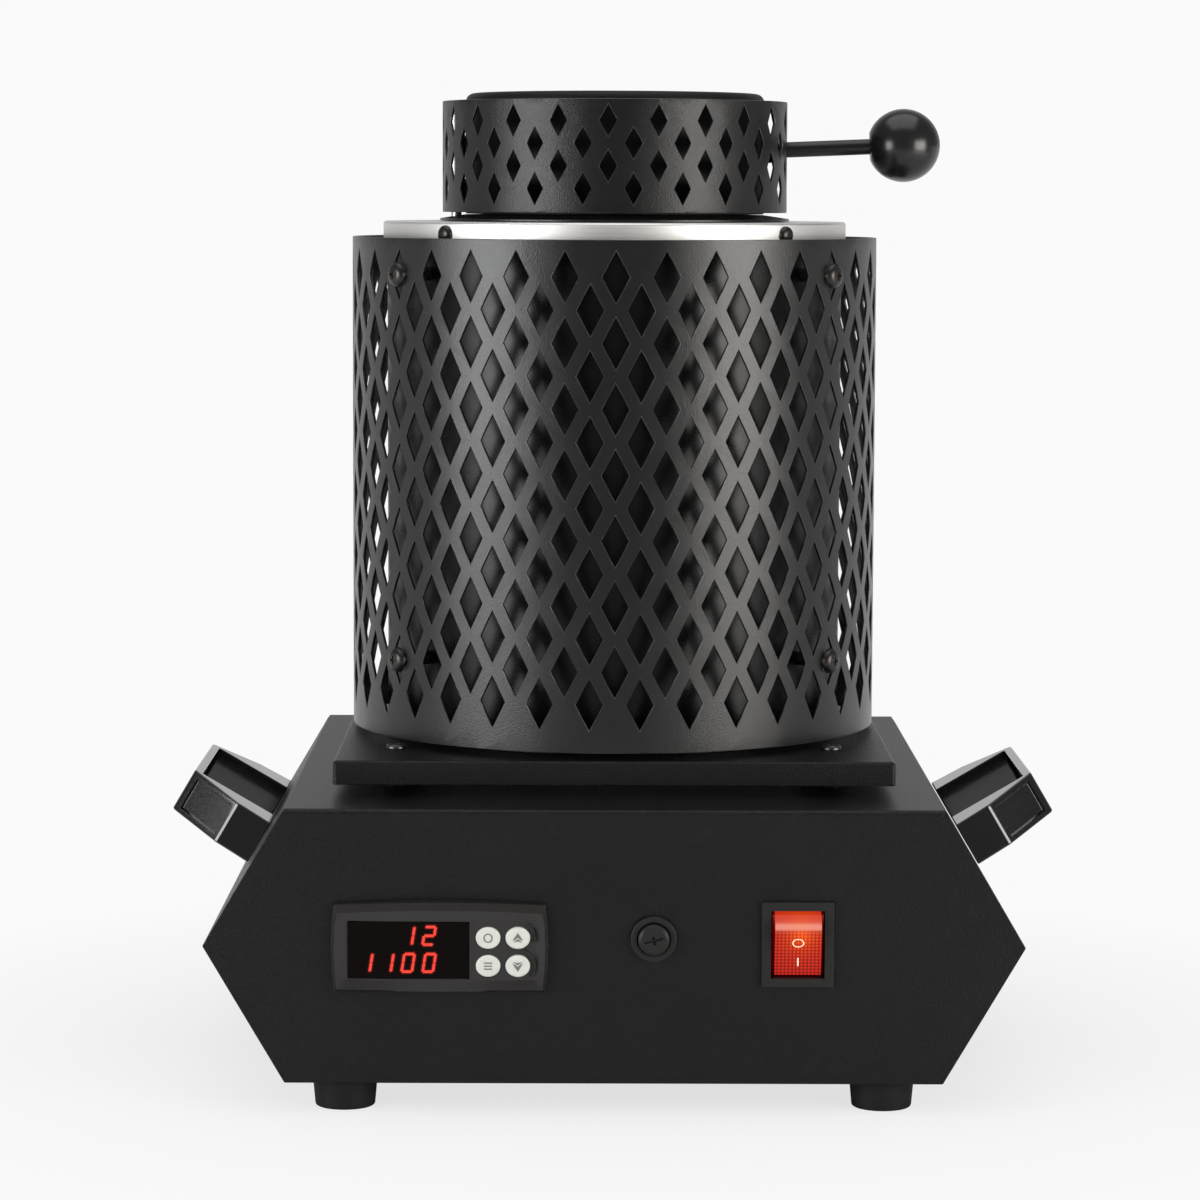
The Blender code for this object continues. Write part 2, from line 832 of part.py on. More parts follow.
def build_switch(shell):
    holder = frame("switch_frame", move(switch_x, switch_y, 0), front)
    bezel_size = (switch_bezel_width, switch_bezel_height, switch_bezel_thickness - seat_gap)
    bezel = box_mesh("switch_housing", bezel_size, (0, 0, (switch_bezel_thickness + seat_gap) / 2))
    housing = add_piece("switch_housing", bezel, moulded_black, holder)
    body_depth = switch_body_depth + switch_bezel_thickness / 2
    body = box_mesh(
        "switch_body",
        (switch_body_width, switch_body_height, body_depth),
        (0, 0, body_depth / 2 - switch_body_depth),
    )
    combine(housing, "switch_body", body, holder, operation="UNION")
    opening_depth = switch_opening_depth + switch_bezel_thickness + cut_overrun
    opening = box_mesh(
        "switch_opening",
        (switch_opening_width, switch_opening_height, opening_depth),
        (0, 0, opening_depth / 2 - switch_opening_depth),
    )
    combine(housing, "switch_opening", opening, holder)
    cut_panel(shell, "switch_cutout", switch_body_width, switch_body_height, switch_x, switch_y, front)

    outline = [
        (-rocker_base_half, -rocker_base_drop),
        (rocker_base_half, -rocker_base_drop),
        (rocker_shoulder_half, rocker_shoulder_rise),
        (rocker_crest_half, rocker_crest_rise),
        (0, rocker_valley_rise),
        (-rocker_crest_half, rocker_crest_rise),
        (-rocker_shoulder_half, rocker_shoulder_rise),
    ]
    rocker = outline_mesh("switch_rocker", outline, switch_opening_width - 2 * seat_gap)
    upright = Matrix(((0, 0, 1), (1, 0, 0), (0, 1, 0))).to_4x4()
    pivot = move(0, 0, -rocker_pivot_depth) @ upright @ spin(rocker_tilt)
    add_piece("switch_rocker", rocker, rocker_red, holder, pivot)


def build_inlet_and_vents(shell):
    """Appliance inlet with three blades in a recess, and air slots beside it."""
    holder = frame("inlet_frame", move(inlet_x, 0, 0), rear)
    flange_outline = rounded_rectangle(inlet_flange_width, inlet_flange_height, inlet_corner, 1)
    flange_depth = inlet_flange_thickness - seat_gap
    inlet = add_piece(
        "power_inlet",
        outline_mesh("power_inlet", flange_outline, flange_depth),
        moulded_black,
        holder,
        move(0, 0, seat_gap + flange_depth / 2),
    )
    body_depth = inlet_body_depth + inlet_flange_thickness / 2
    body = box_mesh(
        "inlet_body",
        (inlet_body_width, inlet_body_height, body_depth),
        (0, 0, body_depth / 2 - inlet_body_depth),
    )
    combine(inlet, "inlet_body", body, holder, operation="UNION")
    x, y = inlet_recess_width / 2, inlet_recess_height / 2
    chamfer = inlet_recess_chamfer
    socket = [(-x, -y), (x, -y), (x, y - chamfer), (x - chamfer, y), (chamfer - x, y), (-x, y - chamfer)]
    floor = inlet_flange_thickness - inlet_recess_depth
    recess_depth = inlet_recess_depth + cut_overrun
    recess = outline_mesh("inlet_recess", socket, recess_depth)
    combine(inlet, "inlet_recess", recess, holder, move(0, 0, floor + recess_depth / 2))
    blade_size = (inlet_blade_width, inlet_blade_height, inlet_blade_length + cut_overrun)
    blade_z = floor + (inlet_blade_length - cut_overrun) / 2
    for name, x, y in (
        ("blade_left", -inlet_blade_pitch, -inlet_blade_drop),
        ("blade_earth", 0, inlet_blade_drop),
        ("blade_right", inlet_blade_pitch, -inlet_blade_drop),
    ):
        combine(inlet, name, box_mesh(name, blade_size, (x, y, blade_z)), holder, operation="UNION")
    cut_panel(shell, "inlet_cutout", inlet_body_width, inlet_body_height, inlet_x, 0, rear)

    shape = bmesh.new()
    slot_size = (vent_width, vent_height, 2 * (casing_sheet + cut_overrun), 1)
    for index in range(vent_count):
        x = vent_group_x + (index - (vent_count - 1) / 2) * vent_pitch
        bmesh.ops.create_cube(shape, size=1, matrix=move(x, 0, 0) @ Matrix.Diagonal(slot_size))
    combine(shell, "vent_slots", mesh_from("vent_slots", shape), rear)


def build_electrics():
    """Solid blocks on the bottom plate, hidden in the closed casing."""
    floor = casing_sheet + seat_gap
    relay = box_mesh("relay", (relay_width, relay_depth, relay_height))
    add_piece("relay", relay, controller_black, base, move(relay_x, relay_y, floor + relay_height / 2))
    block = box_mesh("terminal_block", (terminal_width, terminal_depth, terminal_height))
    place = move(terminal_x, terminal_y, floor + terminal_height / 2)
    add_piece("terminal_block", block, ceramic_white, base, place)


def build_tray():
    """Shallow box with its open side down, and the four screws that hold it."""
    shape = bmesh.new()
    size = Matrix.Diagonal((tray_width, tray_width, tray_height, 1))
    bmesh.ops.create_cube(shape, size=1, matrix=move(0, 0, tray_height / 2) @ size)
    bottom = min(shape.faces, key=lambda face: face.calc_center_median().z)
    bmesh.ops.delete(shape, geom=[bottom], context="FACES_ONLY")
    bends = [edge for edge in shape.edges if not edge.is_boundary]
    bmesh.ops.bevel(shape, geom=bends, offset=tray_bend, segments=1, profile=0.5, affect="EDGES")
    tray = add_piece("drum_tray", mesh_from("drum_tray", shape), satin_black, tower, move(0, 0, tray_z))
    thicken(tray, tray_sheet)
    holes = bars_mesh(
        "tray_holes",
        tray_screw_shank_radius + seat_gap,
        tray_top_z - tray_sheet - cut_overrun,
        tray_top_z + cut_overrun,
        sides_bolt,
        tray_spots,
    )
    combine(tray, "tray_holes", holes, tower)
    profile = [
        (0, tray_screw_head_height),
        (tray_screw_head_radius, tray_screw_head_height),
        (tray_screw_head_radius, 0),
        (tray_screw_shank_radius, 0),
        (tray_screw_shank_radius, -tray_sheet - seat_gap),
        (0, -tray_sheet - seat_gap),
    ]
    for name, spot in zip(corner_names, tray_spots):
        place = move(*spot, tray_top_z + seat_gap)
        turned("tray_screw_" + name, profile, sides_bolt, screw_steel, tower, place)


def build_drum():
    """Drum on the tray, its cap with a turned-down rim, the rim rivets and the mouth's collar."""
    wall = drum_radius - drum_sheet
    drum = [(drum_radius, drum_height), (drum_radius, 0), (wall, 0), (wall, drum_height)]
    turned("inner_drum", drum, sides_drum, brushed_steel, tower, move(0, 0, drum_z), closed=True)
    rim = [
        (mouth_radius, 0),
        (cap_radius - cap_bend, 0),
        (cap_radius, -cap_bend),
        (cap_radius, -cap_rim_height),
    ]
    cap_place = move(0, 0, cap_top_z)
    turned("drum_cap", rim, sides_drum, brushed_steel, tower, cap_place, sheet=cap_sheet)
    rivet = [
        (0, cap_rivet_height),
        (cap_rivet_top_share * cap_rivet_radius, cap_rivet_height),
        (cap_rivet_radius, 0),
        (0, 0),
    ]
    for name, turn in zip(("front_left", "front_right", "rear_right", "rear_left"), range(4)):
        angle = turn * quarter_turn - quarter_turn - quarter_turn / 2
        spot = spin(angle) @ move(cap_radius + seat_gap, 0, cap_top_z - cap_rivet_drop)
        place = spot @ spin(quarter_turn, "Y")
        turned("cap_rivet_" + name, rivet, sides_small, screw_steel, tower, place)
    collar_profile = [
        (mouth_radius, collar_height),
        (lid_can_radius, collar_height),
        (collar_radius, collar_edge),
        (collar_radius, 0),
        (mouth_radius, 0),
    ]
    collar_place = move(0, 0, collar_z)
    collar = turned(
        "mouth_collar", collar_profile, sides_lid, satin_black, tower, collar_place, closed=True
    )
    pin_hole = bars_mesh(
        "pin_hole", pin_radius + seat_gap, -cut_overrun, collar_height + cut_overrun, sides_small
    )
    combine(collar, "pin_hole", pin_hole, tower, collar_place @ move(pin_x, 0, 0))


def build_shroud():
    """The rolled diamond sheet, and eight stud screws between it and the drum."""
    pattern = Pattern(
        shroud_columns,
        shroud_rows,
        shroud_diamond_width,
        shroud_diamond_height,
        shroud_row_pitch,
        shroud_first_row,
        shroud_seam,
    )
    place = move(0, 0, shroud_z)
    perforated(
        "drum_shroud", shroud_radius, shroud_sheet, shroud_height, pattern, satin_black, tower, place
    )
    reach = shroud_radius - apothem(drum_radius, sides_drum)
    stud = [
        (0, stud_head_height),
        (stud_top_share * stud_head_radius, stud_head_height),
        (stud_head_radius, 0),
        (stud_shank_radius, 0),
        (stud_shank_radius, -reach),
        (0, -reach),
    ]
    offset = math.tau * stud_column / shroud_columns
    turns = (-offset, offset, math.pi - offset, math.pi + offset)
    for level, row in zip(("upper", "lower"), stud_rows):
        z = shroud_z + shroud_height - shroud_first_row - row * shroud_row_pitch
        for corner, turn in zip(("front_left", "front_right", "rear_right", "rear_left"), turns):
            spot = spin(turn - quarter_turn) @ move(shroud_radius + seat_gap, 0, z)
            name = "stud_" + level + "_" + corner
            turned(name, stud, sides_bolt, satin_black, tower, spot @ spin(quarter_turn, "Y"))


def build_chamber():
    """Floor brick, muffle with its coil, jacket, crucible and temperature probe."""
    bore = apothem(drum_radius - drum_sheet, sides_drum) - seat_gap
    brick = bars_mesh("floor_brick", bore, 0, floor_height, sides_chamber)
    brick = add_piece("floor_brick", brick, fibre_white, tower, move(0, 0, drum_z))
    probe_y = (crucible_radius + apothem(muffle_radius, sides_chamber)) / 2
    hole = bars_mesh(
        "probe_hole", probe_radius + seat_gap, -cut_overrun, floor_height + cut_overrun, sides_bolt
    )
    combine(brick, "probe_hole", hole, tower, move(0, probe_y, drum_z))
    probe = bars_mesh("thermocouple", probe_radius, 0, probe_length, sides_bolt)
    shade_round(probe)
    add_piece("thermocouple", probe, ceramic_white, tower, move(0, probe_y, drum_z))

    chamber_height = cap_under_z - seat_gap - chamber_z
    muffle_outer = muffle_radius + muffle_wall
    place = move(0, 0, chamber_z)
    ring = [
        (muffle_outer, chamber_height),
        (muffle_outer, 0),
        (muffle_radius, 0),
        (muffle_radius, chamber_height),
    ]
    turned("muffle_tube", ring, sides_chamber, ceramic_white, tower, place, closed=True)
    coil_radius = (muffle_outer + coil_fit + coil_wire_radius) / math.cos(math.pi / coil_points_per_turn)
    rise = chamber_height - 2 * coil_end_margin
    count = coil_turns * coil_points_per_turn
    path = []
    for index in range(count + 1):
        angle = math.tau * index / coil_points_per_turn
        height = coil_end_margin + rise * index / count
        path.append((coil_radius * math.cos(angle), coil_radius * math.sin(angle), height))
    coil = wire_mesh("heating_coil", path, coil_wire_radius)
    shade_round(coil)
    add_piece("heating_coil", coil, coil_metal, tower, place)
    jacket_inner = (coil_radius + coil_wire_radius + coil_fit) / math.cos(math.pi / sides_chamber)
    jacket = [(bore, chamber_height), (bore, 0), (jacket_inner, 0), (jacket_inner, chamber_height)]
    turned("insulation_jacket", jacket, sides_chamber, fibre_white, tower, place, closed=True)

    cup = [
        (0, crucible_floor),
        (crucible_base_radius - crucible_wall, crucible_floor),
        (crucible_radius - crucible_wall, crucible_height),
        (crucible_radius, crucible_height),
        (crucible_base_radius, 0),
        (0, 0),
    ]
    turned("crucible", cup, sides_chamber, graphite, tower, place)


def build_lid():
    """Can and plug inside a diamond ring, on a barrel that turns about the pin."""
    hinge = frame("lid_hinge", move(pin_x, 0, 0))
    centre = frame("lid_frame", move(-pin_x, 0, 0), hinge)
    can = [
        (0, lid_can_height),
        (lid_can_radius - lid_can_bend, lid_can_height),
        (lid_can_radius, lid_can_height - lid_can_bend),
        (lid_can_radius, 0),
    ]
    turned("lid_can", can, sides_lid, brushed_steel, centre, move(0, 0, lid_z), sheet=lid_can_sheet)
    plug_radius = apothem(lid_can_radius - lid_can_sheet, sides_lid) - seat_gap
    plug = bars_mesh("lid_plug", plug_radius, 0, lid_plug_height, sides_chamber)
    add_piece("lid_plug", plug, fibre_white, centre, move(0, 0, lid_z))

    pattern = Pattern(
        lid_columns,
        lid_rows,
        lid_diamond_width,
        lid_diamond_height,
        lid_row_pitch,
        lid_first_row,
        lid_seam,
    )
    rod_rise_at_ring = lid_ring_radius * math.sin(rod_rise)
    rod_height = lid_ring_height - lid_first_row - lid_row_pitch - rod_drop - rod_rise_at_ring
    rod_place = move(0, 0, rod_height) @ spin(quarter_turn - rod_rise, "Y")
    boss_start = lid_can_radius + seat_gap
    boss_end = lid_ring_inner_flat - seat_gap
    hole = bars_mesh(
        "side_hole", rod_radius + seat_gap, boss_end, lid_ring_radius + cut_overrun, sides_small
    )
    hole.transform(rod_place)
    place = move(0, 0, lid_ring_z) @ spin(lid_pattern_turn)
    perforated(
        "lid_ring",
        lid_ring_radius,
        lid_ring_sheet,
        lid_ring_height,
        pattern,
        satin_black,
        centre,
        place,
        side_hole=hole,
    )
    rod_frame = frame("rod_frame", place @ rod_place, centre)

    neck = -math.sqrt(knob_radius**2 - knob_neck_radius**2)
    bore_end = neck + knob_bore_depth
    rod_end = knob_distance + bore_end - seat_gap
    rod = [
        (0, rod_end),
        (rod_radius, rod_end),
        (rod_radius, boss_end),
        (rod_boss_radius, boss_end),
        (rod_boss_radius, boss_start),
        (0, boss_start),
    ]
    turned("handle_rod", rod, sides_small, satin_black, rod_frame)
    sweep = math.pi - math.asin(knob_neck_radius / knob_radius)
    steps = sides_knob // 2
    knob = [
        (knob_radius * math.sin(sweep * step / steps), knob_radius * math.cos(sweep * step / steps))
        for step in range(steps + 1)
    ]
    bore = rod_radius + seat_gap
    knob += [(bore, neck), (bore, bore_end), (0, bore_end)]
    turned("ball_knob", knob, sides_knob, moulded_black, rod_frame, move(0, 0, knob_distance))

    barrel_low = lid_ring_z + barrel_foot_lift
    barrel_top = lid_ring_top_z - barrel_top_drop
    bore = pin_radius + seat_gap
    barrel = [
        (barrel_radius, barrel_top),
        (barrel_radius, barrel_low),
        (bore, barrel_low),
        (bore, barrel_top),
    ]
    turned("hinge_barrel", barrel, sides_small, screw_steel, hinge, closed=True)
    head_low = barrel_top + seat_gap
    head_top = head_low + pin_head_height
    pin_foot = cap_top_z + seat_gap
    pin = [
        (0, head_top),
        (pin_head_radius, head_top),
        (pin_head_radius, head_low),
        (pin_radius, head_low),
        (pin_radius, pin_foot),
        (0, pin_foot),
    ]
    turned("hinge_pin", pin, sides_small, screw_steel, tower, move(pin_x, 0, 0))


casing = build_casing_shell()
build_side_panels()
build_bottom_and_feet()
build_handles()
build_controller()
cut_panel(
    casing, "controller_cutout", controller_body_width, controller_body_height, controller_x, 0, front
)
build_fuse_holder(casing)
build_switch(casing)
build_inlet_and_vents(casing)
build_electrics()
build_tray()
build_drum()
build_shroud()
build_chamber()
build_lid()
bpy.context.view_layer.update()
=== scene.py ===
# %% [markdown]
# # An electric gold melting furnace, dressed around its fixed frame
#
# The frame holds every part as a plain faceted solid, already in its true place and in metres.
# This lesson keeps those places and gives each part its real roundness and finish: powder
# coat on the casing, satin paint on the cut sheets, bare steel on the cap, gloss mouldings.
# Sizes are written in millimetres and multiplied by `mm` where a mesh is made.

# %% Load the frame
import math

import bmesh
import bpy
from mathutils import Matrix, Vector


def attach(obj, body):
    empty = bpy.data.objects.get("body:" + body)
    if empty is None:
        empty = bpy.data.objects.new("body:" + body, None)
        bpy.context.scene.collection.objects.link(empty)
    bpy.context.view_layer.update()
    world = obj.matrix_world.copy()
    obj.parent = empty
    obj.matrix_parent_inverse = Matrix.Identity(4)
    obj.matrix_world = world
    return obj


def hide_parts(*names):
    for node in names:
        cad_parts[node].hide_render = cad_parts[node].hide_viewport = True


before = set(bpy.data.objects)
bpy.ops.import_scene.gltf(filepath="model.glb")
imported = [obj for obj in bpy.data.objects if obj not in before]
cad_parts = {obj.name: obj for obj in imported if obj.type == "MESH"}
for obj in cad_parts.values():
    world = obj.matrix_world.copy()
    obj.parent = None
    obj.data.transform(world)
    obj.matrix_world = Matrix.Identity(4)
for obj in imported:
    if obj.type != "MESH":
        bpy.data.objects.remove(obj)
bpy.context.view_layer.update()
mm = 0.001

# %% [markdown]
# ## The camera
#
# A product photograph is taken from far away with a long lens, so its upright lines stay
# upright. The lens and the place below were found by matching the corners of the casing and
# the rims of the drum with the photograph. A turned camera needs no shift.

# %% Set the camera
picture_pixels = 1200
focal_pixels = 4080.2
sensor_mm = 36
camera_spot = Vector((-10.1, -1598.4, 335.8)) * mm
camera_pitch = math.radians(5.719)
camera_yaw = math.radians(0.176)
camera_roll = math.radians(0.196)

lens = bpy.data.cameras.new("camera")
lens.sensor_width = sensor_mm
lens.lens = focal_pixels / picture_pixels * sensor_mm
camera = bpy.data.objects.new("camera", lens)
bpy.context.scene.collection.objects.link(camera)
camera.matrix_world = (
    Matrix.Translation(camera_spot)
    @ Matrix.Rotation(-camera_yaw, 4, "Z")
    @ Matrix.Rotation(math.radians(90) - camera_pitch, 4, "X")
    @ Matrix.Rotation(camera_roll, 4, "Z")
)
bpy.context.scene.camera = camera
print("lens in mm:", round(lens.lens, 1))

# %% [markdown]
# ## Arithmetic on shader sockets
#
# A finish is a small sum: paint colour plus a little mottling, roughness plus a little grain.
# Wiring Math nodes by hand hides that sum, so `Signal` wraps a socket and lets Python's own
# operators add the nodes. `Nodes` makes every other kind of node, and a `Finish` is the nodes
# of one material.


# %% Signals and finishes
class Signal:
    """A node's output that arithmetic can build on."""

    def __init__(self, nodes, socket):
        self.nodes = nodes
        self.socket = socket

    def math(self, operation, *operands):
        return self.nodes.node("Math", dict(enumerate(operands)), operation=operation)

    def __add__(self, other):
        return self.math("ADD", self, other)

    def __sub__(self, other):
        return self.math("SUBTRACT", self, other)

    def __mul__(self, other):
        return self.math("MULTIPLY", self, other)

    def __truediv__(self, other):
        return self.math("DIVIDE", self, other)

    def __rtruediv__(self, other):
        return self.math("DIVIDE", other, self)

    def __pow__(self, other):
        return self.math("POWER", self, other)

    __radd__ = __add__
    __rmul__ = __mul__


class Nodes:
    """A node tree, whose nodes are all made by one method."""

    def __init__(self, tree):
        self.tree = tree

    def node(self, kind, sockets, output=0, **settings):
        made = self.tree.nodes.new("ShaderNode" + kind)
        for name, value in settings.items():
            setattr(made, name, value)
        self.feed(made, sockets)
        return Signal(self, made.outputs[output])

    def feed(self, node, sockets):
        for name, value in sockets.items():
            if isinstance(value, Signal):
                self.tree.links.new(value.socket, node.inputs[name])
            else:
                node.inputs[name].default_value = value


class Finish(Nodes):
    """The nodes of one material."""

    def __init__(self, name):
        self.material = bpy.data.materials.new(name)
        self.material.use_nodes = True
        super().__init__(self.material.node_tree)
        self.shader = self.tree.nodes["Principled BSDF"]
        self.place = self.node("TexCoord", {}, "Object")

    def set(self, sockets):
        self.feed(self.shader, sockets)
        return self

    def surface(self, colour, roughness, normal=None, shine=0.5, metal=0.0):
        """What most finishes set."""
        self.set({"Base Color": colour, "Roughness": roughness})
        if normal:
            self.set({"Normal": normal})
        return self.set({"Specular IOR Level": shine, "Metallic": metal})

    def glow(self, colour, strength=1.0):
        return self.set({"Emission Color": colour, "Emission Strength": strength})

    def noise(self, size, detail=2.0, where=None):
        """Soft noise around one half, with lumps of about the given size in metres."""
        sockets = {"Vector": where or self.place, "Scale": 1 / size, "Detail": detail}
        return self.node("TexNoise", sockets)

    def blend(self, mask, low, high):
        """A colour between two others, each of them three numbers or a link."""
        ends = [end if isinstance(end, Signal) else (*end, 1.0) for end in (low, high)]
        return self.node("Mix", {0: mask, 6: ends[0], 7: ends[1]}, 2, data_type="RGBA")

    def bump(self, height, depth):
        return self.node("Bump", {"Height": height, "Distance": depth, "Strength": 1.0})

    def axes(self):
        split = self.node("SeparateXYZ", {"Vector": self.place})
        return [Signal(self, output) for output in split.socket.node.outputs]


# %% [markdown]
# ## Black paints
#
# The casing is powder coated: the powder melts into a skin with a fine orange peel, which
# spreads highlights and shows as grain where the surface is seen at a low angle. The cut
# sheets carry a thinner, smoother satin paint that mirrors the lamps as soft bands. Both are
# nearly black, so their look comes from roughness and bump rather than from colour.

# %% Powder coat and satin paint
powder_coat = Finish("powder_coat")
peel = powder_coat.noise(0.75 * mm, 3.0)
mottle = peel * 0.7 + powder_coat.noise(30 * mm) * 0.3
powder_coat.surface(
    powder_coat.blend(mottle, (0.0003, 0.0003, 0.0004), (0.0085, 0.0085, 0.0085)),
    0.24 + 0.30 * peel,
    powder_coat.bump(peel, 0.26 * mm),
    shine=0.24,
)


def painted(name, low, high, roughness, peel_depth, shine):
    """A satin black paint with a fine peel and faint clouds in its gloss."""
    finish = Finish(name)
    peel, cloud = finish.noise(0.6 * mm), finish.noise(18 * mm)
    uneven = roughness + 0.08 * cloud + 0.08 * peel
    relief = finish.bump(peel, peel_depth * mm)
    return finish.surface(finish.blend(cloud, low, high), uneven, relief, shine)


satin_paint = painted("satin_paint", (0.0015,) * 3, (0.0035, 0.0034, 0.0032), 0.24, 0.07, 0.5)
drum_dark, drum_light = (0.0015, 0.0015, 0.0014), (0.0030, 0.0029, 0.0027)
drum_paint = painted("drum_paint", drum_dark, drum_light, 0.21, 0.006, 0.27)
lid_paint = painted("lid_paint", (0.0020,) * 3, (0.0042, 0.0041, 0.0039), 0.28, 0.10, 0.38)
can_paint = painted("can_paint", (0.0025,) * 3, (0.0050, 0.0049, 0.0047), 0.46, 0.03, 0.22)
# Painted highlight: the diamonds' cut edges get a far lighter colour, for the thin light lines where
# they catch the lamps.
edge_highlight_dark, edge_highlight_light = (0.030, 0.030, 0.029), (0.060, 0.058, 0.056)
edge_highlight_finish = painted("edge_highlight_paint", edge_highlight_dark, edge_highlight_light, 0.26, 0.05, 0.7)
edge_highlight_finish.set({"Metallic": 0.3})
print("paints:", powder_coat.material.name, satin_paint.material.name, drum_paint.material.name)

# %% [markdown]
# ## Plastics and rubber
#
# A gloss moulding is never a perfect mirror: the skin sinks a little over thick places, so a
# wide, shallow bump bends its reflections. The controller's housing has a spark-eroded grain,
# and rubber is rough with a faint bloom.

# %% Plastics and rubber


def moulded(name, low, high, roughness, waves, grains, shine=0.35):
    """A moulded plastic: wide waves from cooling under a fine grain from the mould.

    Waves and grains each have a size and a depth in millimetres.
    """
    finish = Finish(name)
    wave, grain = finish.noise(waves[0] * mm, 1.0), finish.noise(grains[0] * mm, 3.0)
    relief = finish.bump(wave * (waves[1] / grains[1]) + grain, grains[1] * mm)
    return finish.surface(finish.blend(wave, low, high), roughness + 0.10 * grain, relief, shine)


gloss_black = moulded(
    "gloss_moulding", (0.003,) * 3, (0.005,) * 3, 0.08, (14, 0.02), (1.2, 0.001), 0.25
)
gloss_black.set({"Coat Weight": 0.9, "Coat Roughness": 0.07})
knob_black = moulded(
    "knob_moulding", (0.006,) * 3, (0.010,) * 3, 0.20, (6, 0.04), (0.4, 0.006), 0.45
)
matte_black = moulded(
    "matte_moulding", (0.009,) * 3, (0.013, 0.013, 0.012), 0.40, (5, 0.02), (0.5, 0.03), 0.28
)
grey_dark, grey_light = (0.013, 0.012, 0.0115), (0.019, 0.0175, 0.017)
housing_grey = moulded(
    "housing_moulding", grey_dark, grey_light, 0.24, (7, 0.02), (0.5, 0.012), 0.45
)
rubber = moulded("foot_rubber", (0.004,) * 3, (0.009,) * 3, 0.50, (4, 0.05), (0.6, 0.05), 0.22)
key_pearl = moulded(
    "key_pearl", (0.55, 0.56, 0.51), (0.64, 0.64, 0.60), 0.26, (3, 0.02), (0.4, 0.004)
)
print("plastics:", gloss_black.material.name, knob_black.material.name, housing_grey.material.name)

# %% [markdown]
# ## Bare metals
#
# The cap is spun from stainless sheet, so its brush lines run round it. Noise that is read
# in polar coordinates, very fine across the lines and very long along them, gives rings on
# the flat top and level lines on the turned-down rim. Screws are plated and smoother.

# %% Metals
lines_across, lines_along = 3200.0, 1.6


def spun_steel(name, low, high, roughness, metal=1.0):
    """Bare steel with fine brush lines round the Z axis."""
    finish = Finish(name)
    x, y, z = finish.axes()
    radius, angle = (x * x + y * y) ** 0.5, y.math("ARCTAN2", y, x)
    polar = {"X": radius * lines_across, "Y": angle * lines_along, "Z": z * lines_across}
    lines = finish.noise(1.0, 3.0, finish.node("CombineXYZ", polar))
    uneven = roughness + 0.16 * lines + 0.08 * finish.noise(22 * mm)
    relief = finish.bump(lines, 0.008 * mm)
    return finish.surface(finish.blend(lines, low, high), uneven, relief, metal=metal)


cap_steel = spun_steel("spun_steel", (0.64, 0.63, 0.61), (0.88, 0.87, 0.85), 0.36)
screw_plate = spun_steel("screw_plating", (0.05, 0.05, 0.05), (0.11, 0.11, 0.105), 0.26)
pin_steel = spun_steel("pin_steel", (0.42, 0.41, 0.40), (0.56, 0.55, 0.54), 0.22)


def skinned(name, low, high, lump, detail, roughness, spread, depth, metal):
    """Metal under a thin skin of oxide or scale."""
    finish = Finish(name)
    skin = finish.noise(lump * mm, detail)
    relief = finish.bump(skin, depth * mm)
    uneven = roughness + spread * skin
    return finish.surface(finish.blend(skin, low, high), uneven, relief, metal=metal)


oxide_dark, oxide_light = (0.028, 0.026, 0.025), (0.060, 0.056, 0.052)
screw_black = skinned("black_oxide", oxide_dark, oxide_light, 1.4, 3.0, 0.24, 0.16, 0.02, 0.85)
scale_dark, scale_light = (0.10, 0.085, 0.07), (0.26, 0.23, 0.20)
coil_metal = skinned("coil_metal", scale_dark, scale_light, 0.8, 4.0, 0.45, 0.2, 0.05, 0.7)
print("metals:", cap_steel.material.name, screw_plate.material.name, screw_black.material.name)

# %% [markdown]
# ## Ceramics and graphite
#
# With the lid open, the fired tube, its fibre packing and the graphite crucible come into
# view. Fibre is a felt of short threads, so its bump is coarse and deep; graphite is a dark,
# faintly metallic grey with turning marks.

# %% Ceramics and graphite


def fired(name, low, high, roughness, lump, depth):
    """A dry mineral surface: soft stains, and pores of one size."""
    finish = Finish(name)
    pores, stain = finish.noise(lump * mm, 4.0), finish.noise(14 * mm, 3.0)
    relief = finish.bump(pores, depth * mm)
    return finish.surface(finish.blend(stain, low, high), roughness + 0.1 * pores, relief)


tube_ceramic = fired("tube_ceramic", (0.62, 0.57, 0.49), (0.78, 0.74, 0.67), 0.72, 0.7, 0.08)
fibre_felt = fired("fibre_felt", (0.74, 0.71, 0.65), (0.86, 0.84, 0.80), 0.88, 1.3, 0.35)
graphite = spun_steel("cup_graphite", (0.030, 0.030, 0.032), (0.062, 0.062, 0.066), 0.34, 0.35)
print("ceramics:", tube_ceramic.material.name, fibre_felt.material.name, graphite.material.name)

# %% [markdown]
# ## Things that glow
#
# The switch has a lamp behind a red lens. Light pools where the lamp is and falls off with
# the square of the distance, so emission follows one over one plus distance squared. A grid
# of small studs on the inside of the lens breaks the glow into dots. The display's segments
# simply emit.

# %% The lit lens and the display
lens_red = Finish("lens_red")
lens_x, _, lens_z = lens_red.axes()
lens_middle, side_wall_start = 66.8 * mm, 8.45 * mm
lamp_x, lamp_z, lamp_reach = 68.0 * mm, 67.6 * mm, 4.4 * mm
lower_face_top, crest_z, crest_reach = 69.4 * mm, 70.6 * mm, 1.1 * mm
bead_across, bead_up = 1.36 * mm, 1.22 * mm


def wave(along, pitch):
    """A cosine along one coordinate, between zero and one."""
    return along.math("COSINE", along * (math.tau / pitch)) * 0.5 + 0.5


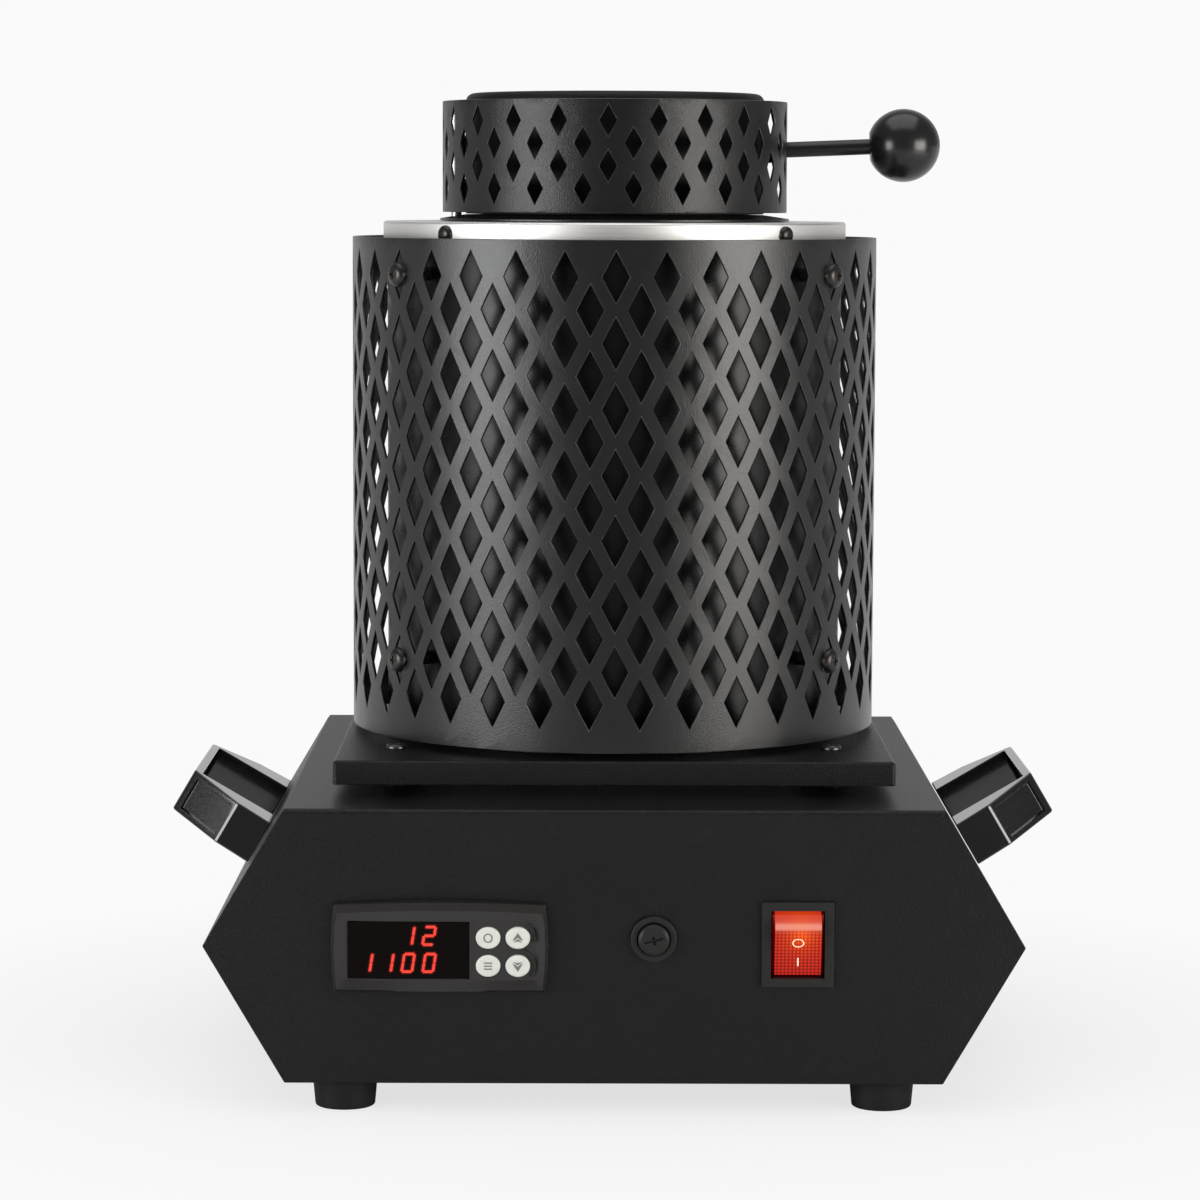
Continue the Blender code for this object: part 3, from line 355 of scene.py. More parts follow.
across, above = (lens_x - lamp_x) / lamp_reach, (lens_z - lamp_z) / lamp_reach
pool = 1 / (1 + across * across + above * above)
beads = wave(lens_x - lens_middle, bead_across) * wave(lens_z, bead_up)
lower_face = lens_z.math("LESS_THAN", lens_z, lower_face_top)
studs = beads * lower_face
# Painted highlight: a pale band along the rounded crest, mixed into the glow, stands for the lamps'
# reflection there.
from_crest = (lens_z - crest_z) / crest_reach
crest = 1 / (1 + (from_crest * from_crest) ** 2)
off_middle = lens_x.math("ABSOLUTE", lens_x - lens_middle)
side_wall = off_middle.math("GREATER_THAN", off_middle, side_wall_start)
bead_glow = lens_red.blend(pool, (0.66, 0.010, 0.010), (1.0, 0.21, 0.008))
gap_glow = lens_red.blend(pool, (0.13, 0.000, 0.001), (0.85, 0.060, 0.003))
smooth_glow = lens_red.blend(pool, (0.62, 0.016, 0.008), (1.0, 0.17, 0.006))
beaded = lens_red.blend(beads * 1.7, gap_glow, bead_glow)
faces = lens_red.blend(lower_face, smooth_glow, beaded)
glow_with_painted_highlight = lens_red.blend(crest * 0.75, faces, (1.0, 0.44, 0.32))
lens_red.surface(
    lens_red.blend(studs, (0.10, 0.002, 0.002), (0.20, 0.004, 0.003)),
    0.20 + 0.1 * studs,
    lens_red.bump(studs, 0.12 * mm),
    shine=0.16,
)
lens_red.glow(lens_red.blend(side_wall, glow_with_painted_highlight, (0.045, 0.0, 0.001)), 0.80)

segment_red = Finish("segment_red")
flicker = segment_red.noise(1.2 * mm)
segment_red.set({"Base Color": (0.05, 0.0, 0.0, 1.0)})
segment_red.glow(segment_red.blend(flicker, (0.90, 0.020, 0.010), (1.0, 0.070, 0.030)))
# Painted glow: the halo emits a faint red for the digits' light spread into the window round them.
halo_red = Finish("halo_red")
fade = halo_red.noise(2 * mm)
halo_red.surface((0.003, 0.001, 0.001, 1.0), 0.10 + 0.05 * fade, shine=0.12)
halo_red.glow(halo_red.blend(fade, (0.045, 0.0005, 0.0003), (0.085, 0.0012, 0.0006)))
window_tint = Finish("window_tint")
haze = window_tint.noise(9 * mm)
tint = window_tint.blend(haze, (0.002, 0.001, 0.001), (0.004, 0.002, 0.002))
window_tint.surface(tint, 0.07 + 0.08 * haze, shine=0.05)
legend_grey = Finish("legend_grey")
ink = legend_grey.noise(0.3 * mm)
legend_grey.surface(legend_grey.blend(ink, (0.11, 0.11, 0.11), (0.19, 0.19, 0.18)), 0.5)
legend_cream = Finish("legend_cream")
cream = legend_cream.noise(0.6 * mm)
legend_cream.surface(legend_cream.blend(cream, (0.80, 0.50, 0.38), (0.90, 0.66, 0.52)), 0.4)
legend_cream.glow(legend_cream.blend(cream, (1.0, 0.40, 0.20), (1.0, 0.52, 0.32)), 0.5)
print("glowing:", lens_red.material.name, segment_red.material.name)

# %% [markdown]
# ## Shaping tools
#
# Nearly every part is one of four things: a profile turned about an axis, a flat outline
# raised into a slab, a pocket sunk into a level face, or a crease that wants rounding. Each
# gets one short function on bmesh operators, and `finished` closes the mesh, gives it its
# finish and lets it ride on its body.

# %% Shaping tools
tiny = 0.002 * mm


def move(x, y, z):
    """A shift by millimetres."""
    return Matrix.Translation(Vector((x, y, z)) * mm)


def turn(degrees, axis="Z"):
    return Matrix.Rotation(math.radians(degrees), 4, axis)


def placed(shape, place):
    bmesh.ops.transform(shape, matrix=place, verts=shape.verts[:])
    return shape


def cleaned(shape):
    bmesh.ops.remove_doubles(shape, verts=shape.verts[:], dist=tiny)
    bmesh.ops.dissolve_degenerate(shape, edges=shape.edges[:], dist=tiny)
    bmesh.ops.recalc_face_normals(shape, faces=shape.faces[:])
    return shape


def rounded(corners, radius, steps=4, closed=False):
    """The same path in millimetres, with an arc in place of each corner."""
    most_of_a_side = 0.45
    points = [Vector(corner) for corner in corners]
    if closed:
        trios = list(zip([points[-1]] + points[:-1], points, points[1:] + points[:1]))
    else:
        trios = list(zip(points, points[1:], points[2:]))
    path = [] if closed else [points[0]]
    for before, corner, after in trios:
        into, out = (before - corner).normalized(), (after - corner).normalized()
        half = into.angle(out) / 2
        room = most_of_a_side * min((before - corner).length, (after - corner).length)
        reach = min(radius / math.tan(half), room)
        arc_radius = reach * math.tan(half)
        centre = corner + (into + out).normalized() * (arc_radius / math.sin(half))
        start, end = corner + into * reach - centre, corner + out * reach - centre
        sweep = start.angle_signed(end)
        for step in range(steps + 1):
            path.append(centre + Matrix.Rotation(-sweep * step / steps, 2) @ start)
    return path if closed else path + [points[-1]]


def box_outline(centre, half):
    corners = ((-1, -1), (1, -1), (1, 1), (-1, 1))
    return [(centre[0] + x * half[0], centre[1] + y * half[1]) for x, y in corners]


def oval_outline(centre, half, steps):
    angles = [math.tau * step / steps for step in range(steps)]
    return [
        (centre[0] + half[0] * math.cos(angle), centre[1] + half[1] * math.sin(angle))
        for angle in angles
    ]


def new_verts(made):
    return [item for item in made["geom"] if isinstance(item, bmesh.types.BMVert)]


def spun(shape, geom, angle, steps, merge):
    still = (0, 0, 0)
    bmesh.ops.spin(
        shape, geom=geom, cent=still, axis=(0, 0, 1), dvec=still,
        angle=angle, steps=steps, use_merge=merge,
    )


def turned(profile, steps, closed=False):
    """Turn a profile of (radius, height) millimetres about the Z axis."""
    shape = bmesh.new()
    corners = [shape.verts.new((point[0] * mm, 0, point[1] * mm)) for point in profile]
    edges = [shape.edges.new(pair) for pair in zip(corners, corners[1:])]
    if closed:
        edges.append(shape.edges.new((corners[-1], corners[0])))
    spun(shape, corners + edges, math.tau, steps, True)
    return cleaned(shape)


def raised(shape, height):
    """Draw the faces of a flat shape up by millimetres."""
    tops = new_verts(bmesh.ops.extrude_face_region(shape, geom=shape.faces[:]))
    bmesh.ops.translate(shape, verts=tops, vec=(0, 0, height * mm))
    bmesh.ops.recalc_face_normals(shape, faces=shape.faces[:])
    return shape


def slab(outline, low, high):
    """Raise a flat outline of (x, y) millimetres from one height to another."""
    shape = bmesh.new()
    shape.faces.new([shape.verts.new((x * mm, y * mm, low * mm)) for x, y in outline])
    return raised(shape, high - low)


def soften(shape, width, segments=3, limit=30.0, second_finish=False):
    """Round every crease sharper than the limit; the new faces may take a second finish."""
    shape.normal_update()
    sharp = math.radians(limit)
    creases = [
        edge for edge in shape.edges
        if len(edge.link_faces) == 2 and edge.calc_face_angle(0) > sharp
    ]
    made = bmesh.ops.bevel(
        shape, geom=creases, offset=width * mm, segments=segments, profile=0.5,
        affect="EDGES", material=-1, clamp_overlap=True,
    )
    if second_finish:
        for face in made["faces"]:
            face.material_index = 1
    return shape


def level_faces(shape, height, axis=2):
    return [
        face for face in shape.faces
        if all(abs(vert.co[axis] - height * mm) < tiny for vert in face.verts)
    ]


def step_in(shape, faces, inward, rise=0.0):
    """Inset faces by millimetres and lift what lies inside."""
    bmesh.ops.inset_region(
        shape, faces=faces, thickness=inward * mm, depth=rise * mm, use_even_offset=True
    )


def sliced(shape, spot, direction, faces=None, drop=False):
    """Cut a shape, or some faces, by the plane through a spot in metres."""
    parts = shape.verts[:] + shape.edges[:] + shape.faces[:]
    if faces is not None:
        verts = list({vert for face in faces for vert in face.verts})
        parts = verts + list({edge for face in faces for edge in face.edges}) + faces
    bmesh.ops.bisect_plane(
        shape, geom=parts, dist=tiny / 4, plane_co=spot, plane_no=direction, clear_outer=drop
    )


def trimmed(shape, outline, height, axis=2):
    """Cut the level faces along a convex outline, and list the ones inside it."""

    def lifted(flat, level):
        return Vector((flat.x, flat.y, level) if axis == 2 else (flat.x, level, flat.y))

    centre = sum((Vector(point) for point in outline), Vector((0, 0))) / len(outline) * mm
    sides = [
        (Vector((x0, y0)), Vector((y1 - y0, x0 - x1)))
        for (x0, y0), (x1, y1) in zip(outline, list(outline[1:]) + [outline[0]])
    ]
    for start, outward in sides:
        near = level_faces(shape, height, axis)
        sliced(shape, lifted(start, height) * mm, lifted(outward, 0), near)

    def inside(face):
        middle = face.calc_center_median()
        spot = Vector((middle.x, middle[3 - axis]))
        return all(
            (spot - start * mm).dot(outward) * (centre - start * mm).dot(outward) > 0
            for start, outward in sides
        )

    return [face for face in level_faces(shape, height, axis) if inside(face)]


def sink(shape, outline, height, depth):
    """Press a pocket with a convex outline into the level face at a height."""
    step_in(shape, trimmed(shape, outline, height), 0.0, -depth)


def gathered(shapes):
    """Several shapes in one."""
    whole = bmesh.new()
    for part in shapes:
        carrier = bpy.data.meshes.new("carrier")
        part.to_mesh(carrier)
        part.free()
        whole.from_mesh(carrier)
        bpy.data.meshes.remove(carrier)
    return whole


def finished(name, shape, finish, body, stands_for, crease=38.0, second=None):
    """Close a shape into a piece that rides on its body."""
    open_edges = sum(1 for edge in shape.edges if len(edge.link_faces) != 2)
    mesh = bpy.data.meshes.new(name)
    shape.to_mesh(mesh)
    shape.free()
    mesh.materials.append(finish.material)
    if second:
        mesh.materials.append(second.material)
    mesh.shade_smooth()
    mesh.set_sharp_from_angle(angle=math.radians(crease))
    piece = bpy.data.objects.new(name, mesh)
    bpy.context.scene.collection.objects.link(piece)
    piece.modifiers.new("weighted", "WEIGHTED_NORMAL").keep_sharp = True
    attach(piece, body)
    if stands_for:
        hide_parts(*stands_for)
    print(name, "faces", len(mesh.polygons), "open edges", open_edges)


def dressed(finish, *nodes):
    """Keep the frame's own solids, with a real finish."""
    for node in nodes:
        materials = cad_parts[node].data.materials
        if not materials:
            materials.append(finish.material)
        for index in range(len(materials)):
            materials[index] = finish.material


# %% [markdown]
# ## Sheets with rows of diamonds
#
# The shroud is the part that the eye goes to: a rolled sheet with some four hundred and
# fifty diamonds in staggered rows. Cutting them one by one from a cylinder is slow. The
# lattice is a tiling, though: every diamond sits in the middle of a rhombus that touches its
# neighbours. So the flat sheet is laid out as rhombi, each is inset to its hole, the holes
# are dropped, and only then is the sheet rolled and given its thickness.

# %% The diamond sheet
plain_half_columns, lattice_inset = 1, 0.5


def diamond_sheet(radius, sheet, low, high, columns, rows, hole, pitch, first_row, turned_by, cuts):
    """A rolled sheet with diamonds, plain for a few half columns at the back."""
    column = math.tau * radius / columns
    rhombus = Matrix.Diagonal((column / 2 * mm, pitch * mm, 1, 1))
    shape = bmesh.new()
    holes = []
    for row in range(rows):
        for half in range(row % 2, 2 * columns, 2):
            spot = move(half * column / 2, high - first_row - row * pitch, 0)
            bmesh.ops.create_circle(
                shape, cap_ends=True, segments=4, radius=1, matrix=spot @ rhombus
            )
            shape.faces.ensure_lookup_table()
            if abs(half - columns) > plain_half_columns:
                holes.append(shape.faces[-1])
    bmesh.ops.inset_individual(shape, faces=holes, thickness=lattice_inset * mm)
    for face in holes:
        centre = face.calc_center_median()
        wide = max(abs(vert.co.x - centre.x) for vert in face.verts)
        tall = max(abs(vert.co.y - centre.y) for vert in face.verts)
        fit = Matrix.Diagonal((hole[0] / 2 * mm / wide, hole[1] / 2 * mm / tall, 1, 1))
        about = Matrix.Translation(-centre)
        bmesh.ops.transform(shape, matrix=fit, space=about, verts=face.verts[:])
    bmesh.ops.delete(shape, geom=holes, context="FACES_ONLY")
    bmesh.ops.remove_doubles(shape, verts=shape.verts[:], dist=tiny)

    last = high - first_row - (rows - 1) * pitch
    for limit, sign in ((high, 1), (low, -1)):
        start = (high - first_row if sign > 0 else last) * mm
        rim = [
            edge for edge in shape.edges
            if edge.is_boundary
            and sign * (sum(vert.co.y for vert in edge.verts) / 2 - start) > tiny
            and max(abs(vert.co.y - start) for vert in edge.verts) > 0.9 * pitch * mm
        ]
        beyond = (limit + sign * 2 * pitch) * mm
        for vert in new_verts(bmesh.ops.extrude_edge_only(shape, edges=rim)):
            vert.co.y = beyond
        sliced(shape, (0, limit * mm, 0), (0, sign, 0), drop=True)
    bmesh.ops.subdivide_edges(shape, edges=shape.edges[:], cuts=cuts, use_grid_fill=True)

    for vert in shape.verts:
        angle = vert.co.x / (radius * mm) - math.pi / 2 + math.radians(turned_by)
        rim_spot = Vector((radius * math.cos(angle), radius * math.sin(angle), 0)) * mm
        vert.co = rim_spot + Vector((0, 0, vert.co.y))
    bmesh.ops.remove_doubles(shape, verts=shape.verts[:], dist=tiny)
    inner = new_verts(bmesh.ops.extrude_face_region(shape, geom=shape.faces[:]))
    share = (radius - sheet) / radius
    bmesh.ops.scale(shape, vec=(share, share, 1), verts=inner)
    bmesh.ops.recalc_face_normals(shape, faces=shape.faces[:])
    # The rounded cut edges take the second finish, the painted edge highlight.
    return soften(shape, 0.22, 1, 60.0, second_finish=True)


shroud = diamond_sheet(
    radius=102.0, sheet=1.2, low=128.7, high=318.2, columns=34, rows=14, hole=(10.2, 19.4),
    pitch=12.1308, first_row=13.7, turned_by=0.0, cuts=1,
)
lid_band = diamond_sheet(
    radius=67.0, sheet=1.0, low=327.7, high=370.4, columns=22, rows=4, hole=(6.8, 12.3),
    pitch=8.5, first_row=8.1, turned_by=-2.5, cuts=2,
)
for name, shape, finish, node, body in (
    ("shroud_sheet", shroud, satin_paint, "drum_shroud", "furnace"),
    ("lid_sheet", lid_band, lid_paint, "lid_ring", "lid"),
):
    finished(name, shape, finish, body, [node], 45.0, edge_highlight_finish)

# %% [markdown]
# ## Drum, cap and collar
#
# These are spun or rolled round parts, so each is a profile turned about the axis. The cap's
# edge is turned down over the drum with a small bend, which draws the bright line under the
# lid.

# %% Turn the drum, the cap and the collar
skirt_low = 315.0
wall = [(88.4, 322.7), (88.4, 126.5), (87.4, 126.5), (87.4, 322.7)]
cap_outer = rounded([(37.5, 324.2), (90.0, 324.2), (90.0, skirt_low)], 1.1, 4)
cap_inner = rounded([(88.8, skirt_low), (88.8, 323.0), (37.5, 323.0)], 0.4, 2)
collar_corners = [(37.5, 324.5), (37.5, 326.8), (58.0, 326.8), (68.0, 325.3), (68.0, 324.5)]
for name, profile, finish, node, slot in (
    ("drum_wall", wall, drum_paint, "inner_drum", "satin_black_paint"),
    ("spun_cap", cap_outer + cap_inner, cap_steel, "drum_cap", "brushed_steel"),
    ("mouth_plate", rounded(collar_corners, 0.3, 2), satin_paint, "mouth_collar", "satin_black_paint"),
):
    finished(name, turned(profile, 120, closed=True), finish, "furnace", [node])

# %% [markdown]
# ## Screws
#
# The studs that hold the shroud have domed heads with a cross recess, the tray screws are
# flat with a shallow slot-like cross, and small domes peep over the shroud's edge on the
# cap's rim. A head is turned once; the cross is three pockets sunk into its flat spot.

# %% Heads for studs, tray and cap


def dome_head(radius, height, flat, shank_radius, shank_length, recess):
    """A screw on the Z axis, its head standing on zero."""
    arc = []
    for step in range(7):
        angle = math.radians(90) * step / 6
        arc.append((flat + (radius - flat) * math.sin(angle), height * math.cos(angle)))
    shank = [(shank_radius, 0), (shank_radius, -shank_length), (0, -shank_length)]
    shape = turned([(0, height)] + arc + shank, 24)
    bmesh.ops.dissolve_faces(shape, faces=level_faces(shape, height))
    if recess:
        arm, half = recess
        for outline in (
            box_outline((0, 0), (arm, half)),
            [(-half, half), (half, half), (half, arm), (-half, arm)],
            [(-half, -arm), (half, -arm), (half, -half), (-half, -half)],
        ):
            sink(shape, outline, height, 0.7)
    return cleaned(shape)


stud_turns = (-52.94, 52.94, 127.06, -127.06)
stud_corners = ("front_left", "front_right", "rear_right", "rear_left")
for level, height in (("upper", 304.5), ("lower", 158.94)):
    for corner, angle in zip(stud_corners, stud_turns):
        place = turn(angle - 90) @ move(102.3, 0, height) @ turn(90, "Y") @ turn(angle * 1.7)
        name = "stud_" + level + "_" + corner
        head = placed(dome_head(4.8, 2.7, 2.0, 2.6, 14.1, (1.7, 0.42)), place)
        finished(name + "_head", head, screw_black, "furnace", [name])
for corner, x, y in (
    ("front_left", -82.2, -70.2),
    ("front_right", 82.2, -70.2),
    ("rear_left", -82.2, 70.2),
    ("rear_right", 82.2, 70.2),
):
    screw = dome_head(3.8, 1.5, 2.8, 2.0, 1.5, (1.6, 0.4))
    placed(screw, move(x, y, 126.5) @ turn(x * 0.4))
    name = "tray_screw_" + corner
    finished(name + "_head", screw, screw_plate, "furnace", [name])
for corner, angle in zip(stud_corners, (-45, 45, 135, -135)):
    place = turn(angle - 90) @ move(90.3, 0, 319.6) @ turn(90, "Y")
    dome = placed(dome_head(3.4, 1.8, 0.6, 1.6, 0.2, None), place)
    name = "cap_rivet_" + corner
    finished(name + "_dome", dome, screw_black, "furnace", [name])

# %% [markdown]
# ## The lid
#
# The lid is a can with a plug of fibre, wrapped in its own diamond sheet. It swings on a pin
# at the left, and a rod with a ball points to the right. The ball has a flat neck where the
# rod enters, and the rod climbs a little.

# %% Turn the lid's can, plug, rod, ball and hinge
can_outer = rounded([(0, 373.5), (58.0, 373.5), (58.0, 327.1)], 3.2, 6)
can_inner = [(56.8, 327.1), (56.8, 372.3), (0, 372.3)]
can = turned(can_outer + can_inner, 120)
finished("lid_drum", can, can_paint, "lid", ["lid_can"])
plug = rounded([(0, 357.1), (55.8, 357.1), (55.8, 327.1), (0, 327.1)], 1.5, 3)
finished("lid_fibre", turned(plug, 96), fibre_felt, "lid", ["lid_plug"])

lid_turn, rod_rise = -2.5, 2.3
rod_axis_height = 327.7 + 42.7 - 8.1 - 8.5 - 1.7 - 67.0 * math.sin(math.radians(rod_rise))
rod_place = turn(lid_turn) @ move(0, 0, rod_axis_height) @ turn(90 - rod_rise, "Y")
rod_corners = [(0, 106.6), (3.0, 106.6), (3.0, 65.2), (4.8, 65.2), (4.8, 58.2), (0, 58.2)]
rod = placed(turned(rounded(rod_corners, 0.4, 2), 40), rod_place)
finished("lift_rod", rod, satin_paint, "lid", ["handle_rod"])
ball_radius, neck_radius, ball_distance = 14.15, 5.5, 112.2
neck_angle = math.pi - math.asin(neck_radius / ball_radius)
ball_profile = [
    (ball_radius * math.sin(neck_angle * step / 24), ball_radius * math.cos(neck_angle * step / 24))
    for step in range(25)
]
neck = ball_profile[-1][1]
ball_profile += [(3.3, neck), (3.3, neck + 8.0), (0, neck + 8.0)]
ball = placed(turned(ball_profile, 48), rod_place @ move(0, 0, ball_distance))
finished("lift_ball", ball, knob_black, "lid", ["ball_knob"])
pin_place = move(-61.6576, 0, 0)
barrel = rounded([(3.36, 365.4), (3.36, 328.9), (2.3, 328.9), (2.3, 365.4)], 0.3, 2, closed=True)
sleeve = placed(turned(barrel, 32, closed=True), pin_place)
finished("hinge_sleeve", sleeve, pin_steel, "lid", ["hinge_barrel"])
pin = rounded([(0, 366.9), (3.2, 366.9), (3.2, 365.7), (2.0, 365.7), (2.0, 324.5), (0, 324.5)], 0.3, 2)
bolt = placed(turned(pin, 32), pin_place)
finished("hinge_bolt", bolt, pin_steel, "furnace", ["hinge_pin"])

# %% [markdown]
# ## The casing
#
# Front, top and rear are one sheet with two bends. A path is swept across the width, the four
# slanted cuts are made by planes, the openings are dropped while the sheet is still a
# surface, and only then does it get its thickness. The side panels are bent the other way.

# %% Fold the casing
casing_front, casing_back = -133.305, 136.695
casing_low, casing_high = 11.5, 112.5
casing_mid = (casing_low + casing_high) / 2
casing_half, casing_flat_half = 150.0, 120.3


def swept(path, low, high, axis):
    """Sweep a path of (across, height) millimetres along the X or the Y axis."""
    shape = bmesh.new()
    spots = [(low, *point) if axis == "X" else (point[0], low, point[1]) for point in path]
    corners = [shape.verts.new(Vector(spot) * mm) for spot in spots]
    edges = [shape.edges.new(pair) for pair in zip(corners, corners[1:])]
    step = (high - low) * mm
    moved = new_verts(bmesh.ops.extrude_edge_only(shape, edges=edges))
    bmesh.ops.translate(shape, verts=moved, vec=(step, 0, 0) if axis == "X" else (0, step, 0))
    return shape


def window_in(shape, y, outline):
    """Drop a convex outline of (x, z) out of the upright sheet at one y."""
    bmesh.ops.delete(shape, geom=trimmed(shape, outline, y, axis=1), context="FACES")


def oblong(low_x, high_x, low_z, high_z):
    return [(low_x, low_z), (high_x, low_z), (high_x, high_z), (low_x, high_z)]


def thickened(shape, sheet, outward):
    """Give an open sheet its thickness on the side away from `outward`."""
    bmesh.ops.recalc_face_normals(shape, faces=shape.faces[:])
    shape.normal_update()
    largest = max(shape.faces, key=lambda face: face.calc_area())
    if largest.normal.dot(Vector(outward)) < 0:
        bmesh.ops.reverse_faces(shape, faces=shape.faces[:])
    bmesh.ops.solidify(shape, geom=shape.faces[:], thickness=sheet * mm)
    bmesh.ops.recalc_face_normals(shape, faces=shape.faces[:])
    return shape


fold = [(casing_front, casing_low), (casing_front, casing_high)]
fold += [(casing_back, casing_high), (casing_back, casing_low)]
shell = swept(rounded(fold, 2.0, 5), -casing_half - 2, casing_half + 2, "X")
slope = Vector((casing_high - casing_mid, 0, casing_half - casing_flat_half)).normalized()
for x_sign in (-1, 1):
    for z_sign in (-1, 1):
        direction = (x_sign * slope.x, 0, z_sign * slope.z)
        spot = Vector((x_sign * casing_half, 0, casing_mid)) * mm
        sliced(shell, spot, direction, drop=True)
window_in(shell, casing_front, oblong(56.05, 77.55, 49.9, 76.9))
window_in(shell, casing_front, oblong(-99.0, -28.0, 48.0, 76.0))
window_in(shell, casing_front, oval_outline((14.4, 65.3), (7.6, 7.6), 12))
window_in(shell, casing_back, oblong(51.5, 78.5, 52.1, 71.9))
for index in range(6):
    vent_x = -55.0 + (index - 2.5) * 11.0
    window_in(shell, casing_back, oblong(vent_x - 1.5, vent_x + 1.5, 44.0, 80.0))
thickened(shell, 1.2, (0, 0, 1))
pillars = [
    placed(turned([(0, 124.7), (4.5, 124.7), (4.5, 111.6), (0, 111.6)], 28), move(x, y, 0))
    for x in (-82.2, 82.2)
    for y in (-70.2, 70.2)
]
soften(shell, 0.4, 2, 50.0)
casing = gathered([shell] + pillars)
finished("casing_sheet", casing, powder_coat, "furnace", ["casing_shell"])

# %% Fold the side panels
for side, x_sign in (("left", -1), ("right", 1)):
    top, bottom = casing_high - 1.5, casing_low + 1.5

    def slant_x(height):
        inward = abs(height - casing_mid) * (casing_half - casing_flat_half)
        return x_sign * (casing_half - inward / (casing_high - casing_mid))

    corners = [(x_sign * 109.3, top), (slant_x(top), top), (x_sign * casing_half, casing_mid)]
    corners += [(slant_x(bottom), bottom), (x_sign * 109.3, bottom)]
    panel = swept(rounded(corners, 2.0, 4), casing_front + 2.0, casing_back - 2.0, "Y")
    thickened(panel, 1.2, (x_sign, 0, 0))
    nodes = ["side_panel_" + side]
    finished("side_sheet_" + side, panel, powder_coat, "furnace", nodes)
dressed(powder_coat, "bottom_plate")

# %% [markdown]
# ## Tray and feet
#
# The tray is a shallow box turned upside down. A cube loses its lower face, its creases are
# rounded and it gets its sheet thickness. Each foot is a turned rubber button, a little
# narrower at the floor.

# %% Fold the tray and turn the feet
tray_half, tray_low, tray_high = 104.2, 117.2, 126.2
tray = bmesh.new()
bmesh.ops.create_cube(
    tray,
    size=1,
    matrix=move(0, 0, (tray_low + tray_high) / 2)
    @ Matrix.Diagonal((2 * tray_half * mm, 2 * tray_half * mm, (tray_high - tray_low) * mm, 1)),
)
underside = min(tray.faces, key=lambda face: face.calc_center_median().z)
bmesh.ops.delete(tray, geom=[underside], context="FACES_ONLY")
soften(tray, 1.5, 4, 60.0)
thickened(tray, 1.2, (0, 0, 1))
soften(tray, 0.2, 1, 60.0)
finished("tray_sheet", tray, powder_coat, "furnace", ["drum_tray"])

foot_profile = rounded([(0, 11.2), (12.0, 11.2), (11.0, 0), (0, 0)], 1.0, 4)
for end, y in (("front", -116.305), ("rear", 119.695)):
    for side, x in (("left", -99.0), ("right", 99.0)):
        corner = end + "_" + side
        foot = placed(turned(foot_profile, 48), move(x, y, 0))
        name = "rubber_foot_" + corner
        finished(name, foot, rubber, "furnace", ["foot_" + corner])

# %% [markdown]
# ## Side handles
#
# Each handle is one gloss moulding in the shape of a bridge, standing square on the slanted
# side. Its outline is raised across the width; on each outer leg face a pocket leaves a thin
# frame.

# %% Mould the handles


def handle_shape():
    """The bridge in its own frame: X along the casing, Y away from the side, Z across."""
    outer = rounded(
        [(-56.5, 0.3), (-53.5, 15.0), (-37.75, 35.7), (37.75, 35.7), (53.5, 15.0), (56.5, 0.3)], 3.0, 5
    )
    inner = rounded([(36.0, 0.3), (36.0, 32.3), (-36.0, 32.3), (-36.0, 0.3)], 1.5, 3)
    shape = slab(outer + inner, -8.8, 8.8)
    return soften(shape, 0.7, 3, 60.0)


def leg_pocket(shape, sign):
    """Inset the slanted outer face of one leg."""
    direction = Vector((sign * 20.7, 15.75, 0)).normalized()
    shape.normal_update()
    facing = [face for face in shape.faces if face.normal.dot(direction) > 0.999]
    face = max(facing, key=lambda face: face.calc_area())
    step_in(shape, [face], 1.5)
    step_in(shape, [face], 0.6, -0.9)


slope_normal = Vector((slope.x, 0, slope.z))
along = Vector((0, 1, 0))
handle_axes = Matrix((along, slope_normal, along.cross(slope_normal))).transposed().to_4x4()
handle_height = (casing_high + casing_mid) / 2 - casing_low
handle_spot = move((casing_half + casing_flat_half) / 2, 0, handle_height)
base_place = move(0, (casing_front + casing_back) / 2, casing_low)
for side, degrees in (("right", 0), ("left", 180)):
    bridge = handle_shape()
    for sign in (-1, 1):
        leg_pocket(bridge, sign)
    placed(bridge, base_place @ turn(degrees) @ handle_spot @ handle_axes)
    nodes = ["grip_handle_" + side]
    finished("bridge_handle_" + side, bridge, gloss_black, "furnace", nodes)

# %% [markdown]
# ## The temperature controller
#
# Seen close, the bezel is a picture frame: its top edge is arched, its ends bulge, a rim runs
# round it and the face lies a little lower, crowned from end to end. It is raised as a slab,
# stepped by insets, given its pockets while it is still level, and then crowned by lifting
# every point by a share that depends on how far it is from the middle.

# %% Build the controller's bezel
front_panel = move(0, casing_front, casing_mid) @ turn(90, "X")
controller_place = front_panel @ move(-63.5, 0, 0)
bezel_half, bezel_tall = 38.4, 16.1
bezel_outline = []
arch_steps = 14
for step in range(arch_steps + 1):
    share = 2 * step / arch_steps - 1
    bezel_outline.append((bezel_half * share, -bezel_tall))
for share in (-0.5, 0.0, 0.5):
    bezel_outline.append((bezel_half + 1.2 * (1 - share * share), bezel_tall * share))
for step in range(arch_steps + 1):
    share = 1 - 2 * step / arch_steps
    bezel_outline.append((bezel_half * share, bezel_tall + 1.3 * (1 - share * share)))
for share in (0.5, 0.0, -0.5):
    bezel_outline.append((-bezel_half - 1.2 * (1 - share * share), bezel_tall * share))

